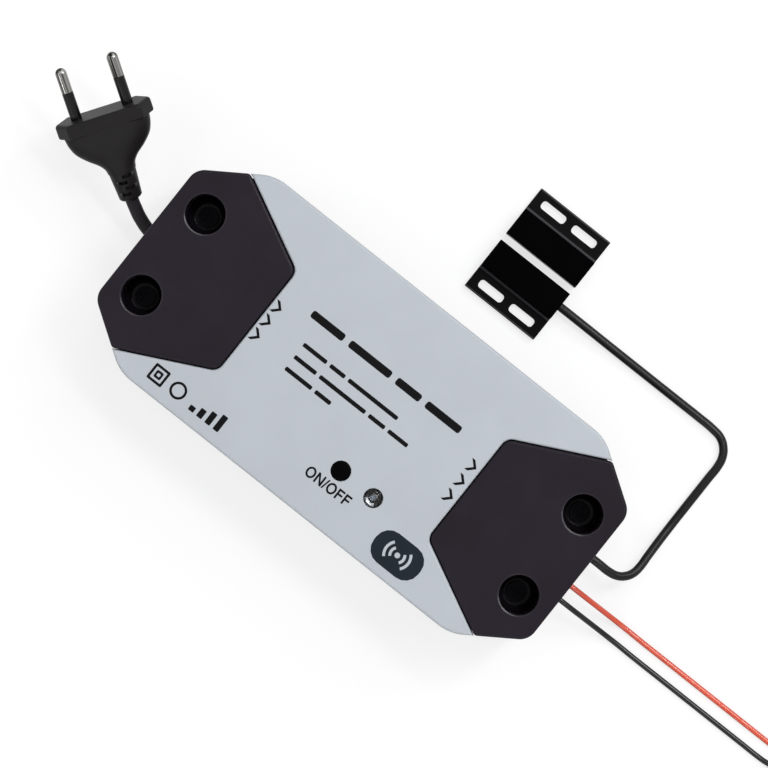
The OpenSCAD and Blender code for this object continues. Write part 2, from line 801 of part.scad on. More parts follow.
module wireless_shield() {
  color(steel) translate([0, 0, wireless_size[2]]) on_board(shield_at, shield_size);
}

module mains_clamp() {
  color(black) mirror([1, 0, 0]) clamp(mains_clamp_y, mains_cables);
}

module output_clamp() {
  color(black) clamp(output_clamp_y, output_cables);
}

module clamp_screws() {
  z = seam_h + clamp_t;
  color(steel) {
    for (y = output_clamp_y) translate([clamp_x, y, z]) screw(clamp_screw, clamp_screw_l - eps);
    for (y = mains_clamp_y) translate([-clamp_x, y, z]) screw(clamp_screw, clamp_screw_l - eps);
  }
}

// A core that leaves a cable and runs to a pole
function core_route(x0, y0, x1, y1) =
  let (way = sign(x1 - x0))
  [
    [x0, y0, seam_h], [x0 + way, y0, seam_h], [(x0 + x1) / 2 - way * 2, (y0 + y1) / 2, seam_h],
    [x1 - way * entry_l, y1, seam_h], [x1, y1, seam_h]
  ];

module mains_cores() {
  color([0.45, 0.25, 0.12])
    tube(core_route(-lead_end_x, mains_y - core_r - core_gap, -pole_end_x, input_poles[0]), core_r, core_sides);
  color([0.15, 0.3, 0.7])
    tube(core_route(-lead_end_x, mains_y + core_r + core_gap, -pole_end_x, input_poles[1]), core_r, core_sides);
}

module sensor_cores() {
  spread = thin_core_r + core_gap;
  starts = [sensor_cable_y - spread, sensor_cable_y + spread];
  color([0.8, 0.8, 0.8]) for (k = [0, 1])
    tube(core_route(lead_end_x, starts[k], pole_end_x, output_poles[2 + k]), thin_core_r, core_sides);
}

module mains_lead() {
  color(black) tube(mains_route, mains_d / 2, 12);
}

// The plug's own frame: its axis is Z, its width lies along Y
module at_plug() {
  translate(plug_place) rotate([0, 0, 180 - plug_yaw]) rotate([0, 90 - plug_tilt, 0]) children();
}

function squared_ring(half_t, half_w, z) = [
  for (i = [0:23])
    let (a = 15 * i, c = cos(a), s = sin(a))
    [half_t * sign(c) * pow(abs(c), 0.75), half_w * sign(s) * pow(abs(s), 0.85), z]
];

module plug_shell() {
  rear = plug_l - plug_flange - relief_l;
  points = [for (k = plug_sections) each squared_ring(k[2], k[1], relief_l + k[0] * rear)];
  polyhedron(points, skin_faces(len(plug_sections), 24), convexity = 4);
}

// A cut half round the strain relief, down to the core that carries the lead
module relief_slit() {
  difference() {
    translate([-neck_r, slit_offset, 0]) cube([2 * neck_r, neck_r, slit_w]);
    translate([0, 0, -eps]) cylinder(r = mains_d / 2 + slit_core, h = slit_w + 2 * eps);
  }
}

module plug_body() {
  color(black) at_plug() difference() {
    union() {
      cylinder(r1 = relief_r, r2 = neck_r - 0.2, h = relief_l);
      plug_shell();
      translate([0, 0, plug_l - plug_flange]) linear_extrude(plug_flange) polygon([
        [plug_t / 2, -plug_flat / 2], [plug_t / 2, plug_flat / 2], [0, plug_w / 2],
        [-plug_t / 2, plug_flat / 2], [-plug_t / 2, -plug_flat / 2], [0, -plug_w / 2]
      ]);
    }
    translate([0, 0, -eps]) cylinder(r = mains_d / 2 + cable_gap, h = relief_bore_h + eps);
    for (s = [-1, 1]) translate([0, s * pin_pitch / 2, plug_l - pin_root])
      cylinder(r = pin_core_r + fit, h = pin_root + eps);
    for (k = [0:3]) translate([0, 0, slit_start + k * slit_pitch]) mirror([0, k % 2, 0]) relief_slit();
  }
}

module plug_pins() {
  tip = pin_d / 2;
  color(steel) at_plug() for (s = [-1, 1]) translate([0, s * pin_pitch / 2, plug_l]) rotate_extrude()
    polygon(concat(
      [[0, -pin_root], [pin_core_r, -pin_root], [pin_core_r, sleeve_l], [tip, sleeve_l]],
      [for (i = [0:6]) let (t = 90 * i / 6) [tip * cos(t), pin_l - tip * (1 - sin(t))]]
    ));
}

module pin_sleeves() {
  color(black) at_plug() for (s = [-1, 1]) translate([0, s * pin_pitch / 2, plug_l]) difference() {
    cylinder(d = pin_d, h = sleeve_l);
    translate([0, 0, -eps]) cylinder(r = pin_core_r + fit, h = sleeve_l + 2 * eps);
  }
}

module sensor_cable() {
  color(black) tube(sensor_route, sensor_cable_d / 2, 8);
}

// One half of the sensor pair, with its flange towards -Y and its corner at the origin
module half_housing() {
  slot_run = slot_l - slot_w;
  difference() {
    union() {
      translate([0, flange_w, 0]) cube([sensor_l, body_w, sensor_h]);
      cube([sensor_l, flange_w + eps, flange_t]);
      translate([0, flange_w, flange_t]) rotate([90, 0, 90]) linear_extrude(sensor_l)
        polygon([[-ramp_w, -eps], [-ramp_w, 0], [0, ramp_h], [eps, ramp_h], [eps, -eps]]);
    }
    translate([half_wall, flange_w + half_wall, -eps]) cube([pocket_l, pocket_w, pocket_h + eps]);
    for (s = [-1, 1]) translate([sensor_l / 2 + s * slot_pitch / 2, slot_inset, -eps]) {
      for (e = [-1, 1]) translate([e * slot_run / 2, 0, 0]) cylinder(d = slot_w, h = flange_t + 2 * eps);
      translate([-slot_run / 2, -slot_w / 2, 0]) cube([slot_run, slot_w, flange_t + 2 * eps]);
    }
  }
}

module at_reed() {
  translate([sensor_x, sensor_y, 0]) children();
}

module at_magnet() {
  translate([sensor_x, magnet_y, 0]) mirror([0, 1, 0]) children();
}

// The filling of a half's pocket, short of one end
module filling(room) {
  translate([half_wall + fill_gap, flange_w + half_wall + fill_gap, 0])
    cube([pocket_l - 2 * fill_gap - room, pocket_w - 2 * fill_gap, pocket_h - fill_gap]);
}

module reed_housing() {
  color(black) difference() {
    at_reed() half_housing();
    translate([sensor_x + sensor_l - 2 * half_wall, body_mid_y, capsule_z]) rotate([0, 90, 0])
      cylinder(r = sensor_cable_d / 2 + cable_gap, h = 4 * half_wall);
  }
}

module capsule_hole(gap) {
  translate([sensor_l / 2 - 1, flange_w + body_w / 2, capsule_z]) rotate([0, 90, 0])
    cylinder(r = capsule_r + gap, h = capsule_l + 2 * gap, center = true);
}

module reed_capsule() {
  color([0.6, 0.8, 0.7, 0.7]) at_reed() capsule_hole(0);
}

module reed_potting() {
  color([0.1, 0.1, 0.1]) at_reed() difference() {
    filling(cable_room);
    capsule_hole(fit);
  }
}

module magnet_housing() {
  color(black) at_magnet() half_housing();
}

module magnet_block(gap) {
  corner = [(sensor_l - magnet_l) / 2, flange_w + (body_w - magnet_w) / 2, pocket_h - magnet_h];
  translate(corner - gap * [1, 1, 1]) cube([magnet_l, magnet_w, magnet_h] + 2 * gap * [1, 1, 1]);
}

module bar_magnet() {
  color(steel) at_magnet() magnet_block(-fill_gap);
}

module magnet_potting() {
  color([0.1, 0.1, 0.1]) at_magnet() difference() {
    filling(0);
    magnet_block(0);
  }
}

module red_wire() {
  color([0.9, 0.35, 0.28]) tube(red_route, wire_d / 2, 8);
}

module black_wire() {
  color(black) tube(black_route, wire_d / 2, 8);
}

module red_coil() {
  color([0.9, 0.35, 0.28]) tube(coil_route(red_coil_z), wire_d / 2, coil_sides);
}

module black_coil() {
  color(black) tube(coil_route(black_coil_z), wire_d / 2, coil_sides);
}

// A strap round the section of both coils, on the side away from the case's cables
module coil_tie() {
  inner = [tie_w + 2, coil_outer_r - coil_inner_r + wire_d + 2 * tie_gap, coil_top + tie_gap - tie_t];
  outer = [tie_w, inner[1] + 2 * tie_t, inner[2] + 2 * tie_t];
  middle_y = coil_y + (coil_inner_r + coil_outer_r) / 2;
  color(black) translate([coil_x, middle_y, tie_t + inner[2] / 2]) difference() {
    cube(outer, center = true);
    cube(inner, center = true);
  }
}

module wire_tips() {
  color([0.8, 0.78, 0.74]) for (z = [red_coil_z, black_coil_z])
    translate(coil_point(720 * coil_turns, z) + [coil_tail, 0, 0]) rotate([0, 90, 0])
      cylinder(r = tip_r, h = tip_l);
}

base_tray();
top_cover();
input_end_cap();
output_end_cap();
cap_screws();
case_screws();
button_cap();
tact_switch();
tact_plunger();
indicator_lens();
status_led();
led_spacer();
circuit_board();
board_screws();
input_terminal();
output_terminal();
terminal_screws();
relay();
transformer_core();
transformer_winding();
rectifier();
bulk_capacitor();
filter_capacitor();
fuse();
varistor();
wireless_board();
wireless_shield();
mains_clamp();
output_clamp();
clamp_screws();
mains_cores();
sensor_cores();
mains_lead();
plug_body();
plug_pins();
pin_sleeves();
sensor_cable();
reed_housing();
reed_capsule();
reed_potting();
magnet_housing();
bar_magnet();
magnet_potting();
red_wire();
black_wire();
red_coil();
black_coil();
coil_tie();
wire_tips();
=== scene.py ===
"""Looks of the garage door controller: shells, plug, sensor pair, cords, print, light and camera."""
import json
import math

import bmesh
import bpy
from mathutils import Matrix, Vector


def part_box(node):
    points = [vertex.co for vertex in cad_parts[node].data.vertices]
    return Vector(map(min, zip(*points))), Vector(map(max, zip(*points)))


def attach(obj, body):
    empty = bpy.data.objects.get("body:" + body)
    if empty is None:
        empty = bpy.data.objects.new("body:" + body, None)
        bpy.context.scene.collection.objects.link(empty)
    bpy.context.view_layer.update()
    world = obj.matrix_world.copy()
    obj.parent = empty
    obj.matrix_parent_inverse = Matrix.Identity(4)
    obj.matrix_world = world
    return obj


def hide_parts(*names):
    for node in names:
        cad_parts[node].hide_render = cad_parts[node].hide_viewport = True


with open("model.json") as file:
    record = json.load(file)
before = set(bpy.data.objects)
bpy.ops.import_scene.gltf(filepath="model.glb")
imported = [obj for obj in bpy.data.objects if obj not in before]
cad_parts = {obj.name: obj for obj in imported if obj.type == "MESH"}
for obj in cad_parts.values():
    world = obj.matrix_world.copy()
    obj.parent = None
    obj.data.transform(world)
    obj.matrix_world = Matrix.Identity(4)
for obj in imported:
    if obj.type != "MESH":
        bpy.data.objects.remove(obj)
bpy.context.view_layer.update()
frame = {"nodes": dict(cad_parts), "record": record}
nodes = frame["nodes"]

MM = 0.001
TINY = 1e-6


def mm(*lengths):
    """Lengths given in millimetres, in metres."""
    return [length * MM for length in lengths]


def metres(points):
    return [tuple(mm(*point)) for point in points]


# Case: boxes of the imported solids, and sizes of the part's source
COVER_LOW, COVER_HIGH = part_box("top_cover")
HALF_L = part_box("base_tray")[1].x
HALF_W = COVER_HIGH.y
SEAM_Z = COVER_LOW.z
TOP_Z = COVER_HIGH.z
CAP_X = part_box("output_end_cap")[0].x
END_HALF, CORNER_RUN, CAP_CORNER_RUN, CAP_INNER_HALF = mm(27.8, 22.7, 15.5, 21.6)
END_R, SIDE_R, CAP_INNER_R, CAP_SIDE_R = mm(6.5, 16, 3.9, 1.8)
WALL, SKIRT, SEAM_GAP = mm(2.4, 8, 0.4)
EDGE_R, SEAM_EDGE, SEAM_V, HOLE_EDGE = mm(1, 0.8, 0.25, 0.3)
# Reach of a cutting tool past what it cuts, and the least radius of an inset corner
OVER, LEAST_R = mm(1, 0.1)

# Screws and wells
SCREW_HEAD_R = 3.6 * MM
SCREWS_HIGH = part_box("cap_screws")[1]
WELL_X = SCREWS_HIGH.x - SCREW_HEAD_R
WELL_Y = SCREWS_HIGH.y - SCREW_HEAD_R
WELL_R, WELL_WALL, WELL_FLOOR = mm(7, 1.8, 20)
WELL_BASE = WELL_FLOOR - 2 * MM
WELL_EDGE, WELL_FALL, WELL_DISH = mm(0.5, 0.11, 2.9)
SHANK_R, POST_R = mm(2.05, 5)
CASE_POST = mm(52, 36.5)
CASE_POST_R, CASE_SHANK_R = mm(4.5, 1.6)
CASE_SINK_R, CASE_SINK, CASE_SINK_EDGE = mm(3.05, 5, 0.4)
CASE_PILOT_R = CASE_SHANK_R - 0.1 * MM
CASE_PILOT_TOP = SEAM_Z + 18 * MM
STANDOFF = mm(60, 26)
STANDOFF_R, STANDOFF_TOP = mm(3.2, 8)
SADDLE_X, OUTPUT_SADDLE, INPUT_SADDLE = mm(67.5, 73.5), mm(-19.2, 15.7), mm(-10.4, 12)
SADDLE_TOP = SEAM_Z - 0.2 * MM

# Cables: place across the case and diameter
MAINS_Y, MAINS_D = mm(0.8, 4.8)
SENSOR_Y, SENSOR_D = mm(7.7, 3.2)
RED_Y, BLACK_Y, WIRE_D = mm(-4.5, -10.7, 2)
PASSAGE_GAP = 0.1 * MM

# Plug: its place, turn and sizes along its own axis
PLUG_PLACE = Vector((-108.6, 6.3, 16.5)) * MM
PLUG_YAW = math.radians(33.8)
PLUG_TILT = math.radians(20)
PLUG_W, PLUG_T, PLUG_FLAT = mm(35.3, 13.7, 26.1)
PLUG_L, PLUG_FLANGE, RELIEF_L = mm(33, 5.4, 10.6)
PLUG_BACK_EDGE, PLUG_FACE_EDGE, PLUG_CORNER_R = mm(0.8, 1.3, 1.8)
PLUG_BORE = 8 * MM
RELIEF_R, RELIEF_EDGE, NECK_R = mm(4.1, 0.6, 5.1)
RELIEF_TOP_R, RELIEF_ROOT_R = NECK_R - 0.2 * MM, NECK_R - 0.5 * MM
SLITS = 4
SLIT_W, SLIT_PITCH, SLIT_START = mm(1.3, 2.2, 2)
SLIT_OFFSET, SLIT_L, SLIT_CORE = mm(-0.6, 4.3, 2.65)
PIN_R, PIN_L, PIN_PITCH, SLEEVE_L = mm(2, 19, 18.6, 10)
PIN_CORE_R, PIN_ROOT, PIN_EDGE = mm(1.55, 8, 0.15)
SLEEVE_EDGE, SOCKET_GAP = mm(0.2, 0.05)
PIN_SIDES = (-PIN_PITCH / 2, PIN_PITCH / 2)


def linear(red, green, blue):
    """Scene colour of a screen colour in steps of 0 to 255, by the standard curve."""
    shares = [c / 255 for c in (red, green, blue)]
    return tuple(s / 12.92 if s < 0.04 else ((s + 0.055) / 1.055) ** 2.4 for s in shares) + (1.0,)


# Meshes
def linked(name, data):
    """A new object in the scene."""
    obj = bpy.data.objects.new(name, data)
    bpy.context.scene.collection.objects.link(obj)
    return obj


def new_object(name, verts, faces):
    """A mesh object whose faces all look outwards."""
    mesh = bpy.data.meshes.new(name)
    mesh.from_pydata([tuple(v) for v in verts], [], faces)
    shape = bmesh.new()
    shape.from_mesh(mesh)
    bmesh.ops.recalc_face_normals(shape, faces=shape.faces)
    shape.to_mesh(mesh)
    shape.free()
    return linked(name, mesh)


def stacked(name, rings):
    """A closed solid through rings that have the same number of points."""
    count = len(rings[0])
    verts = [point for ring in rings for point in ring]
    faces = [tuple(range(count)), tuple(range(len(verts) - count, len(verts)))]
    for j in range(len(rings) - 1):
        for i in range(count):
            a = j * count + i
            b = j * count + (i + 1) % count
            faces.append((a, b, b + count, a + count))
    return new_object(name, verts, faces)


def rounded(points, radii, inset=0.0, steps=10):
    """Outline of a convex polygon, counter-clockwise, with round corners, moved in by inset."""
    outline = []
    for k, corner in enumerate(points):
        before = (corner - points[k - 1]).normalized()
        after = (points[(k + 1) % len(points)] - corner).normalized()
        in_a = Vector((-before.y, before.x))
        in_b = Vector((-after.y, after.x))
        radius = max(radii[k], inset + LEAST_R)
        middle = corner + radius * (in_a + in_b) / (1 + in_a.dot(in_b))
        start = math.atan2(-in_a.y, -in_a.x)
        sweep = math.acos(max(-1.0, min(1.0, in_a.dot(in_b))))
        for i in range(steps + 1):
            at = start + sweep * i / steps
            outline.append(middle + (radius - inset) * Vector((math.cos(at), math.sin(at))))
    return outline


def plate(name, shape, levels, steps=10):
    """A solid of stacked outlines: shape is points and radii, levels are pairs of height and inset."""
    points, radii = shape
    rings = [[(p.x, p.y, z) for p in rounded(points, radii, inset, steps)] for z, inset in levels]
    return stacked(name, rings)


def quarter(steps):
    return [math.pi / 2 * i / steps for i in range(steps + 1)]


def round_top(z, r, steps=6):
    """Levels of an upper edge rounded by r that ends at height z."""
    return [(z - r * (1 - math.sin(t)), r * (1 - math.cos(t))) for t in quarter(steps)]


def round_bottom(z, r, steps=6):
    """Levels of a lower edge rounded by r that starts at height z."""
    return [(2 * z - level, inset) for level, inset in reversed(round_top(z, r, steps))]


def lathe(name, profile, at=(0, 0), segments=64):
    """A solid turned about an upright axis; profile is pairs of radius and height, from axis to axis."""
    verts, rings, faces = [], [], []
    for r, z in profile:
        if r < TINY:
            rings.append([len(verts)] * segments)
            verts.append((0, 0, z))
            continue
        rings.append(list(range(len(verts), len(verts) + segments)))
        turns = [2 * math.pi * i / segments for i in range(segments)]
        verts.extend((r * math.cos(t), r * math.sin(t), z) for t in turns)
    for low, high in zip(rings, rings[1:]):
        for i in range(segments):
            j = (i + 1) % segments
            faces.append(tuple(dict.fromkeys((low[i], low[j], high[j], high[i]))))
    obj = new_object(name, verts, faces)
    obj.data.transform(Matrix.Translation((at[0], at[1], 0)))
    return obj


def rod(name, r, z0, z1, at=(0, 0), segments=48):
    return lathe(name, [(0, z0), (r, z0), (r, z1), (0, z1)], at, segments)


def rod_x(name, r, x0, x1, y, z):
    """A round bar along X."""
    obj = rod(name, r, x0, x1)
    obj.data.transform(Matrix.Translation((0, y, z)) @ Matrix.Rotation(math.pi / 2, 4, "Y"))
    return obj


def upright(name, outline, heights):
    """A solid with the same outline at both of its heights."""
    return stacked(name, [[(x, y, z) for x, y in outline] for z in heights])


def block(name, low, high):
    outline = [(low[0], low[1]), (high[0], low[1]), (high[0], high[1]), (low[0], high[1])]
    return upright(name, outline, (low[2], high[2]))


def settle(obj):
    """Turns the modifiers of an object into its mesh, and takes out edges without length."""
    graph = bpy.context.evaluated_depsgraph_get()
    mesh = bpy.data.meshes.new_from_object(obj.evaluated_get(graph))
    shape = bmesh.new()
    shape.from_mesh(mesh)
    bmesh.ops.remove_doubles(shape, verts=shape.verts, dist=TINY)
    bmesh.ops.dissolve_degenerate(shape, edges=shape.edges, dist=TINY)
    shape.to_mesh(mesh)
    shape.free()
    obj.modifiers.clear()
    obj.data = mesh


def combine(obj, tools, operation):
    """Adds the tools to a solid or cuts them out of it, and removes them."""
    for tool in tools:
        step = obj.modifiers.new("shape", "BOOLEAN")
        step.object = tool
        step.operation = operation
        step.solver = "EXACT"
    settle(obj)
    for tool in tools:
        bpy.data.objects.remove(tool)
    return obj


def cut(obj, *tools):
    return combine(obj, tools, "DIFFERENCE")


def add(obj, *tools):
    return combine(obj, tools, "UNION")


def gathered(name, pieces):
    """One object of several solids that lie apart."""
    shape = bmesh.new()
    for piece in pieces:
        piece.data.transform(piece.matrix_world)
        shape.from_mesh(piece.data)
        bpy.data.objects.remove(piece)
    mesh = bpy.data.meshes.new(name)
    shape.to_mesh(mesh)
    shape.free()
    return linked(name, mesh)


def bevel_edges(obj, width, segments, angle):
    """Rounds the sharp edges of an object by a modifier; its mesh stays as it is."""
    bevel = obj.modifiers.new("edges", "BEVEL")
    bevel.width = width
    bevel.segments = segments
    bevel.limit_method = "ANGLE"
    bevel.angle_limit = math.radians(angle)


def soften(obj, width):
    """Rounds the sharp edges of a mesh."""
    bevel_edges(obj, width, segments=3, angle=35)
    settle(obj)


def dress(obj, material, slot, *nodes, body="case", angle=40):
    """Smooth shading, finish, body and the CAD nodes that the piece stands for."""
    obj.data.materials.clear()
    obj.data.materials.append(material)
    if obj.type == "MESH":
        obj.data.shade_smooth()
        obj.data.set_sharp_from_angle(angle=math.radians(angle))
        weighted = obj.modifiers.new("normals", "WEIGHTED_NORMAL")
        weighted.keep_sharp = True
    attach(obj, body)
    if nodes:
        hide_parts(*nodes)
    return obj


# Materials: the range that a noise mostly covers, then the scale, spread and depth of the marks
NOISE_RANGE = (0.3, 0.7)
CLOUD_SCALE, CLOUD_GLOSS = 55.0, 0.05
GRAIN_DEPTH = 0.03 * MM
STREAK_RANGE, STREAK_GLOSS, STREAK_DEPTH = (0.44, 0.56), (-0.07, 0.1), 0.01 * MM
HAZE_SCALE, HAZE_TINT, HAZE_GLOSS = 400.0, 0.92, 0.03
WHITE = (1.0, 1.0, 1.0, 1.0)


def shader(name):
    material = bpy.data.materials.new(name)
    material.use_nodes = True
    tree = material.node_tree
    return material, tree, tree.nodes["Principled BSDF"]


def feed(tree, node, inputs):
    """Sets inputs of a node, each to a value or to the output of another node."""
    for name, value in inputs.items():
        if isinstance(value, bpy.types.NodeSocket):
            tree.links.new(value, node.inputs[name])
        else:
            node.inputs[name].default_value = value


def add_node(tree, kind, inputs):
    node = tree.nodes.new(kind)
    feed(tree, node, inputs)
    return node


def noise(tree, scale, detail=3.0, stretch=(1, 1, 1)):
    """A noise in the object's own space, with features of about 1 / scale metres."""
    place = tree.nodes.new("ShaderNodeTexCoord").outputs["Object"]
    mapping = add_node(tree, "ShaderNodeMapping", {"Vector": place, "Scale": stretch})
    inputs = {"Vector": mapping.outputs["Vector"], "Scale": scale, "Detail": detail}
    return add_node(tree, "ShaderNodeTexNoise", inputs).outputs["Fac"]


def blend_colours(tree, factor, dark, light, low=0.35, high=0.65):
    ramp = add_node(tree, "ShaderNodeValToRGB", {"Fac": factor})
    for stop, position, colour in zip(ramp.color_ramp.elements, (low, high), (dark, light)):
        stop.position = position
        stop.color = colour
    return ramp.outputs["Color"]


def between(tree, factor, low, high):
    least, most = NOISE_RANGE
    inputs = {"Value": factor, "From Min": least, "From Max": most, "To Min": low, "To Max": high}
    return add_node(tree, "ShaderNodeMapRange", inputs).outputs["Result"]


def raised(tree, factor, strength, depth):
    inputs = {"Height": factor, "Strength": strength, "Distance": depth}
    return add_node(tree, "ShaderNodeBump", inputs).outputs["Normal"]


def scaled(colour, share):
    return tuple(min(1.0, c * share) for c in colour[:3]) + (1.0,)


def plastic(name, colour, rough=0.45, grain=1600.0, relief=0.15, mottle=0.05, specular=0.5):
    """Moulded plastic: faint clouds in the colour, a fine grain and slightly uneven gloss."""
    material, tree, surface = shader(name)
    cloud = noise(tree, CLOUD_SCALE, detail=5.0)
    fine = noise(tree, grain, detail=2.0)
    feed(tree, surface, {
        "Base Color": blend_colours(tree, cloud, scaled(colour, 1 - mottle), scaled(colour, 1 + mottle)),
        "Roughness": between(tree, cloud, rough - CLOUD_GLOSS, rough + CLOUD_GLOSS),
        "Normal": raised(tree, fine, relief, GRAIN_DEPTH),
        "Specular IOR Level": specular,
    })
    return material


def metal(name, colour, rough=0.25, stretch=(1, 1, 1), grain=900.0, marks=0.2, relief=0.2):
    """Plated metal with fine drawn or cast marks."""
    material, tree, surface = shader(name)
    streaks = noise(tree, grain, detail=4.0, stretch=stretch)
    dark, light = scaled(colour, 1 - marks), scaled(colour, 1 + marks / 2)
    feed(tree, surface, {
        "Base Color": blend_colours(tree, streaks, dark, light, *STREAK_RANGE),
        "Roughness": between(tree, streaks, rough + STREAK_GLOSS[0], rough + STREAK_GLOSS[1]),
        "Normal": raised(tree, streaks, relief, STREAK_DEPTH),
        "Metallic": 1.0,
    })
    return material


def clear(name, colour, rough=0.04, ior=1.49):
    """Clear moulded plastic with a faint haze."""
    material, tree, surface = shader(name)
    haze = noise(tree, HAZE_SCALE)
    feed(tree, surface, {
        "Base Color": blend_colours(tree, haze, scaled(colour, HAZE_TINT), colour),
        "Roughness": between(tree, haze, rough, rough + HAZE_GLOSS),
        "Transmission Weight": 1.0,
        "IOR": ior,
    })
    return material


COVER_GREY = plastic("cover_grey", linear(188, 194, 201), rough=0.36, relief=0.08, mottle=0.015)
CAP_CHARCOAL = plastic(
    "cap_charcoal", linear(39, 34, 42), rough=0.22, relief=0.05, mottle=0.09, specular=0.08,
)
CAP_RIM = plastic("cap_rim", linear(35, 31, 38), rough=0.18, relief=0.02, specular=0.2)
TRAY_CHARCOAL = plastic(
    "tray_charcoal", linear(38, 35, 39), rough=0.48, relief=0.2, mottle=0.08, specular=0.2,
)
BUTTON_BLACK = plastic("button_black", linear(4, 4, 5), rough=0.3, relief=0.08, specular=0.02)
PLUG_BLACK = plastic(
    "plug_black", linear(32, 30, 31), rough=0.4, grain=1300.0, relief=0.18, mottle=0.1, specular=0.11,
)
LEAD_BLACK = plastic(
    "lead_black", linear(42, 39, 42), rough=0.4, grain=1200.0, relief=0.12, mottle=0.08, specular=0.11,
)
SLEEVE_BLACK = plastic("sleeve_black", linear(9, 9, 9), rough=0.2, relief=0.06, specular=0.2)
SENSOR_BLACK = plastic(
    "sensor_black", linear(2, 2, 3), rough=0.18, grain=1900.0, relief=0.04, specular=0.015,
)
SENSOR_GRAIN = plastic("sensor_grain", linear(6, 6, 7), rough=0.5, grain=1900.0, relief=0.2, specular=0.05)
# Satin grey for the sensors' ramps and outer edges, much lighter than their black: a painted highlight.
SENSOR_SATIN_HIGHLIGHT = plastic(
    "sensor_satin_highlight", linear(58, 58, 61), rough=0.6, grain=1900.0, relief=0.3, mottle=0.2, specular=0.2,
)
CABLE_BLACK = plastic(
    "cable_black", linear(13, 12, 13), rough=0.28, grain=1100.0, relief=0.05, specular=0.22,
)
WIRE_RED = plastic(
    "wire_red", linear(228, 76, 38), rough=0.15, grain=1500.0, relief=0.05, mottle=0.04, specular=0.6,
)
WIRE_BLACK = plastic("wire_black", linear(3, 3, 4), rough=0.12, grain=1500.0, relief=0.01, specular=0.32)
TIE_BLACK = plastic("tie_black", linear(18, 18, 19), rough=0.42, relief=0.12, specular=0.25)
BAFFLE_BLACK = plastic("baffle_black", linear(6, 6, 7), rough=0.6, relief=0.1, specular=0.05)
PRINT_INK = plastic(
    "print_ink", linear(14, 14, 16), rough=0.5, grain=3000.0, relief=0.1, mottle=0.12, specular=0.06,
)
BADGE_INK = plastic(
    "badge_ink", linear(34, 41, 48), rough=0.5, grain=3000.0, relief=0.1, mottle=0.1, specular=0.06,
)
PIN_NICKEL = metal(
    "pin_nickel", (0.21, 0.207, 0.198, 1.0), rough=0.14, stretch=(1.0, 1.0, 0.012), grain=850.0,
    marks=0.95, relief=0.04,
)
REFLECTOR = metal("reflector_plate", (0.92, 0.92, 0.93, 1.0), rough=0.2)
SCREW_BLACK = metal("screw_black", (0.005, 0.005, 0.006, 1.0), rough=0.36)
LENS_CLEAR = clear("lens_clear", (0.6, 0.63, 0.66, 1.0), rough=0.14, ior=1.38)

# Outlines of the case and of the cap on the output side
SIDE_X = HALF_L - CORNER_RUN
CORNER_SLOPE = (HALF_W - END_HALF) / CORNER_RUN
CASE_SHAPE = (
    [Vector(p) for p in (
        (HALF_L, -END_HALF), (HALF_L, END_HALF), (SIDE_X, HALF_W), (-SIDE_X, HALF_W),
        (-HALF_L, END_HALF), (-HALF_L, -END_HALF), (-SIDE_X, -HALF_W), (SIDE_X, -HALF_W),
    )],
    [END_R, END_R, SIDE_R, SIDE_R, END_R, END_R, SIDE_R, SIDE_R],
)
CAP_SIDE_X = HALF_L - CAP_CORNER_RUN
CAP_SIDE_Y = END_HALF + CAP_CORNER_RUN * CORNER_SLOPE
OUTPUT_CAP = (
    [Vector(p) for p in (
        (HALF_L, -END_HALF), (HALF_L, END_HALF), (CAP_SIDE_X, CAP_SIDE_Y),
        (CAP_X, CAP_INNER_HALF), (CAP_X, -CAP_INNER_HALF), (CAP_SIDE_X, -CAP_SIDE_Y),
    )],
    [END_R, END_R, CAP_SIDE_R, CAP_INNER_R, CAP_INNER_R, CAP_SIDE_R],
)


def mirrored(shape):
    """The same outline on the other end of the case."""
    points, radii = shape
    return [Vector((-p.x, p.y)) for p in reversed(points)], list(reversed(radii))


CAP_SHAPES = {1: OUTPUT_CAP, -1: mirrored(OUTPUT_CAP)}
PASSAGES = {
    1: [(SENSOR_Y, SENSOR_D), (RED_Y, WIRE_D), (BLACK_Y, WIRE_D)],
    -1: [(MAINS_Y, MAINS_D)],
}


def corners(place):
    return [(sx * place[0], sy * place[1]) for sx in (-1, 1) for sy in (-1, 1)]


def passage_tools(side, x0, x1):
    """Bars that cut the cables' way through a wall."""
    low, high = sorted((side * x0, side * x1))
    return [rod_x("passage", d / 2 + PASSAGE_GAP, low, high, y, SEAM_Z) for y, d in PASSAGES[side]]


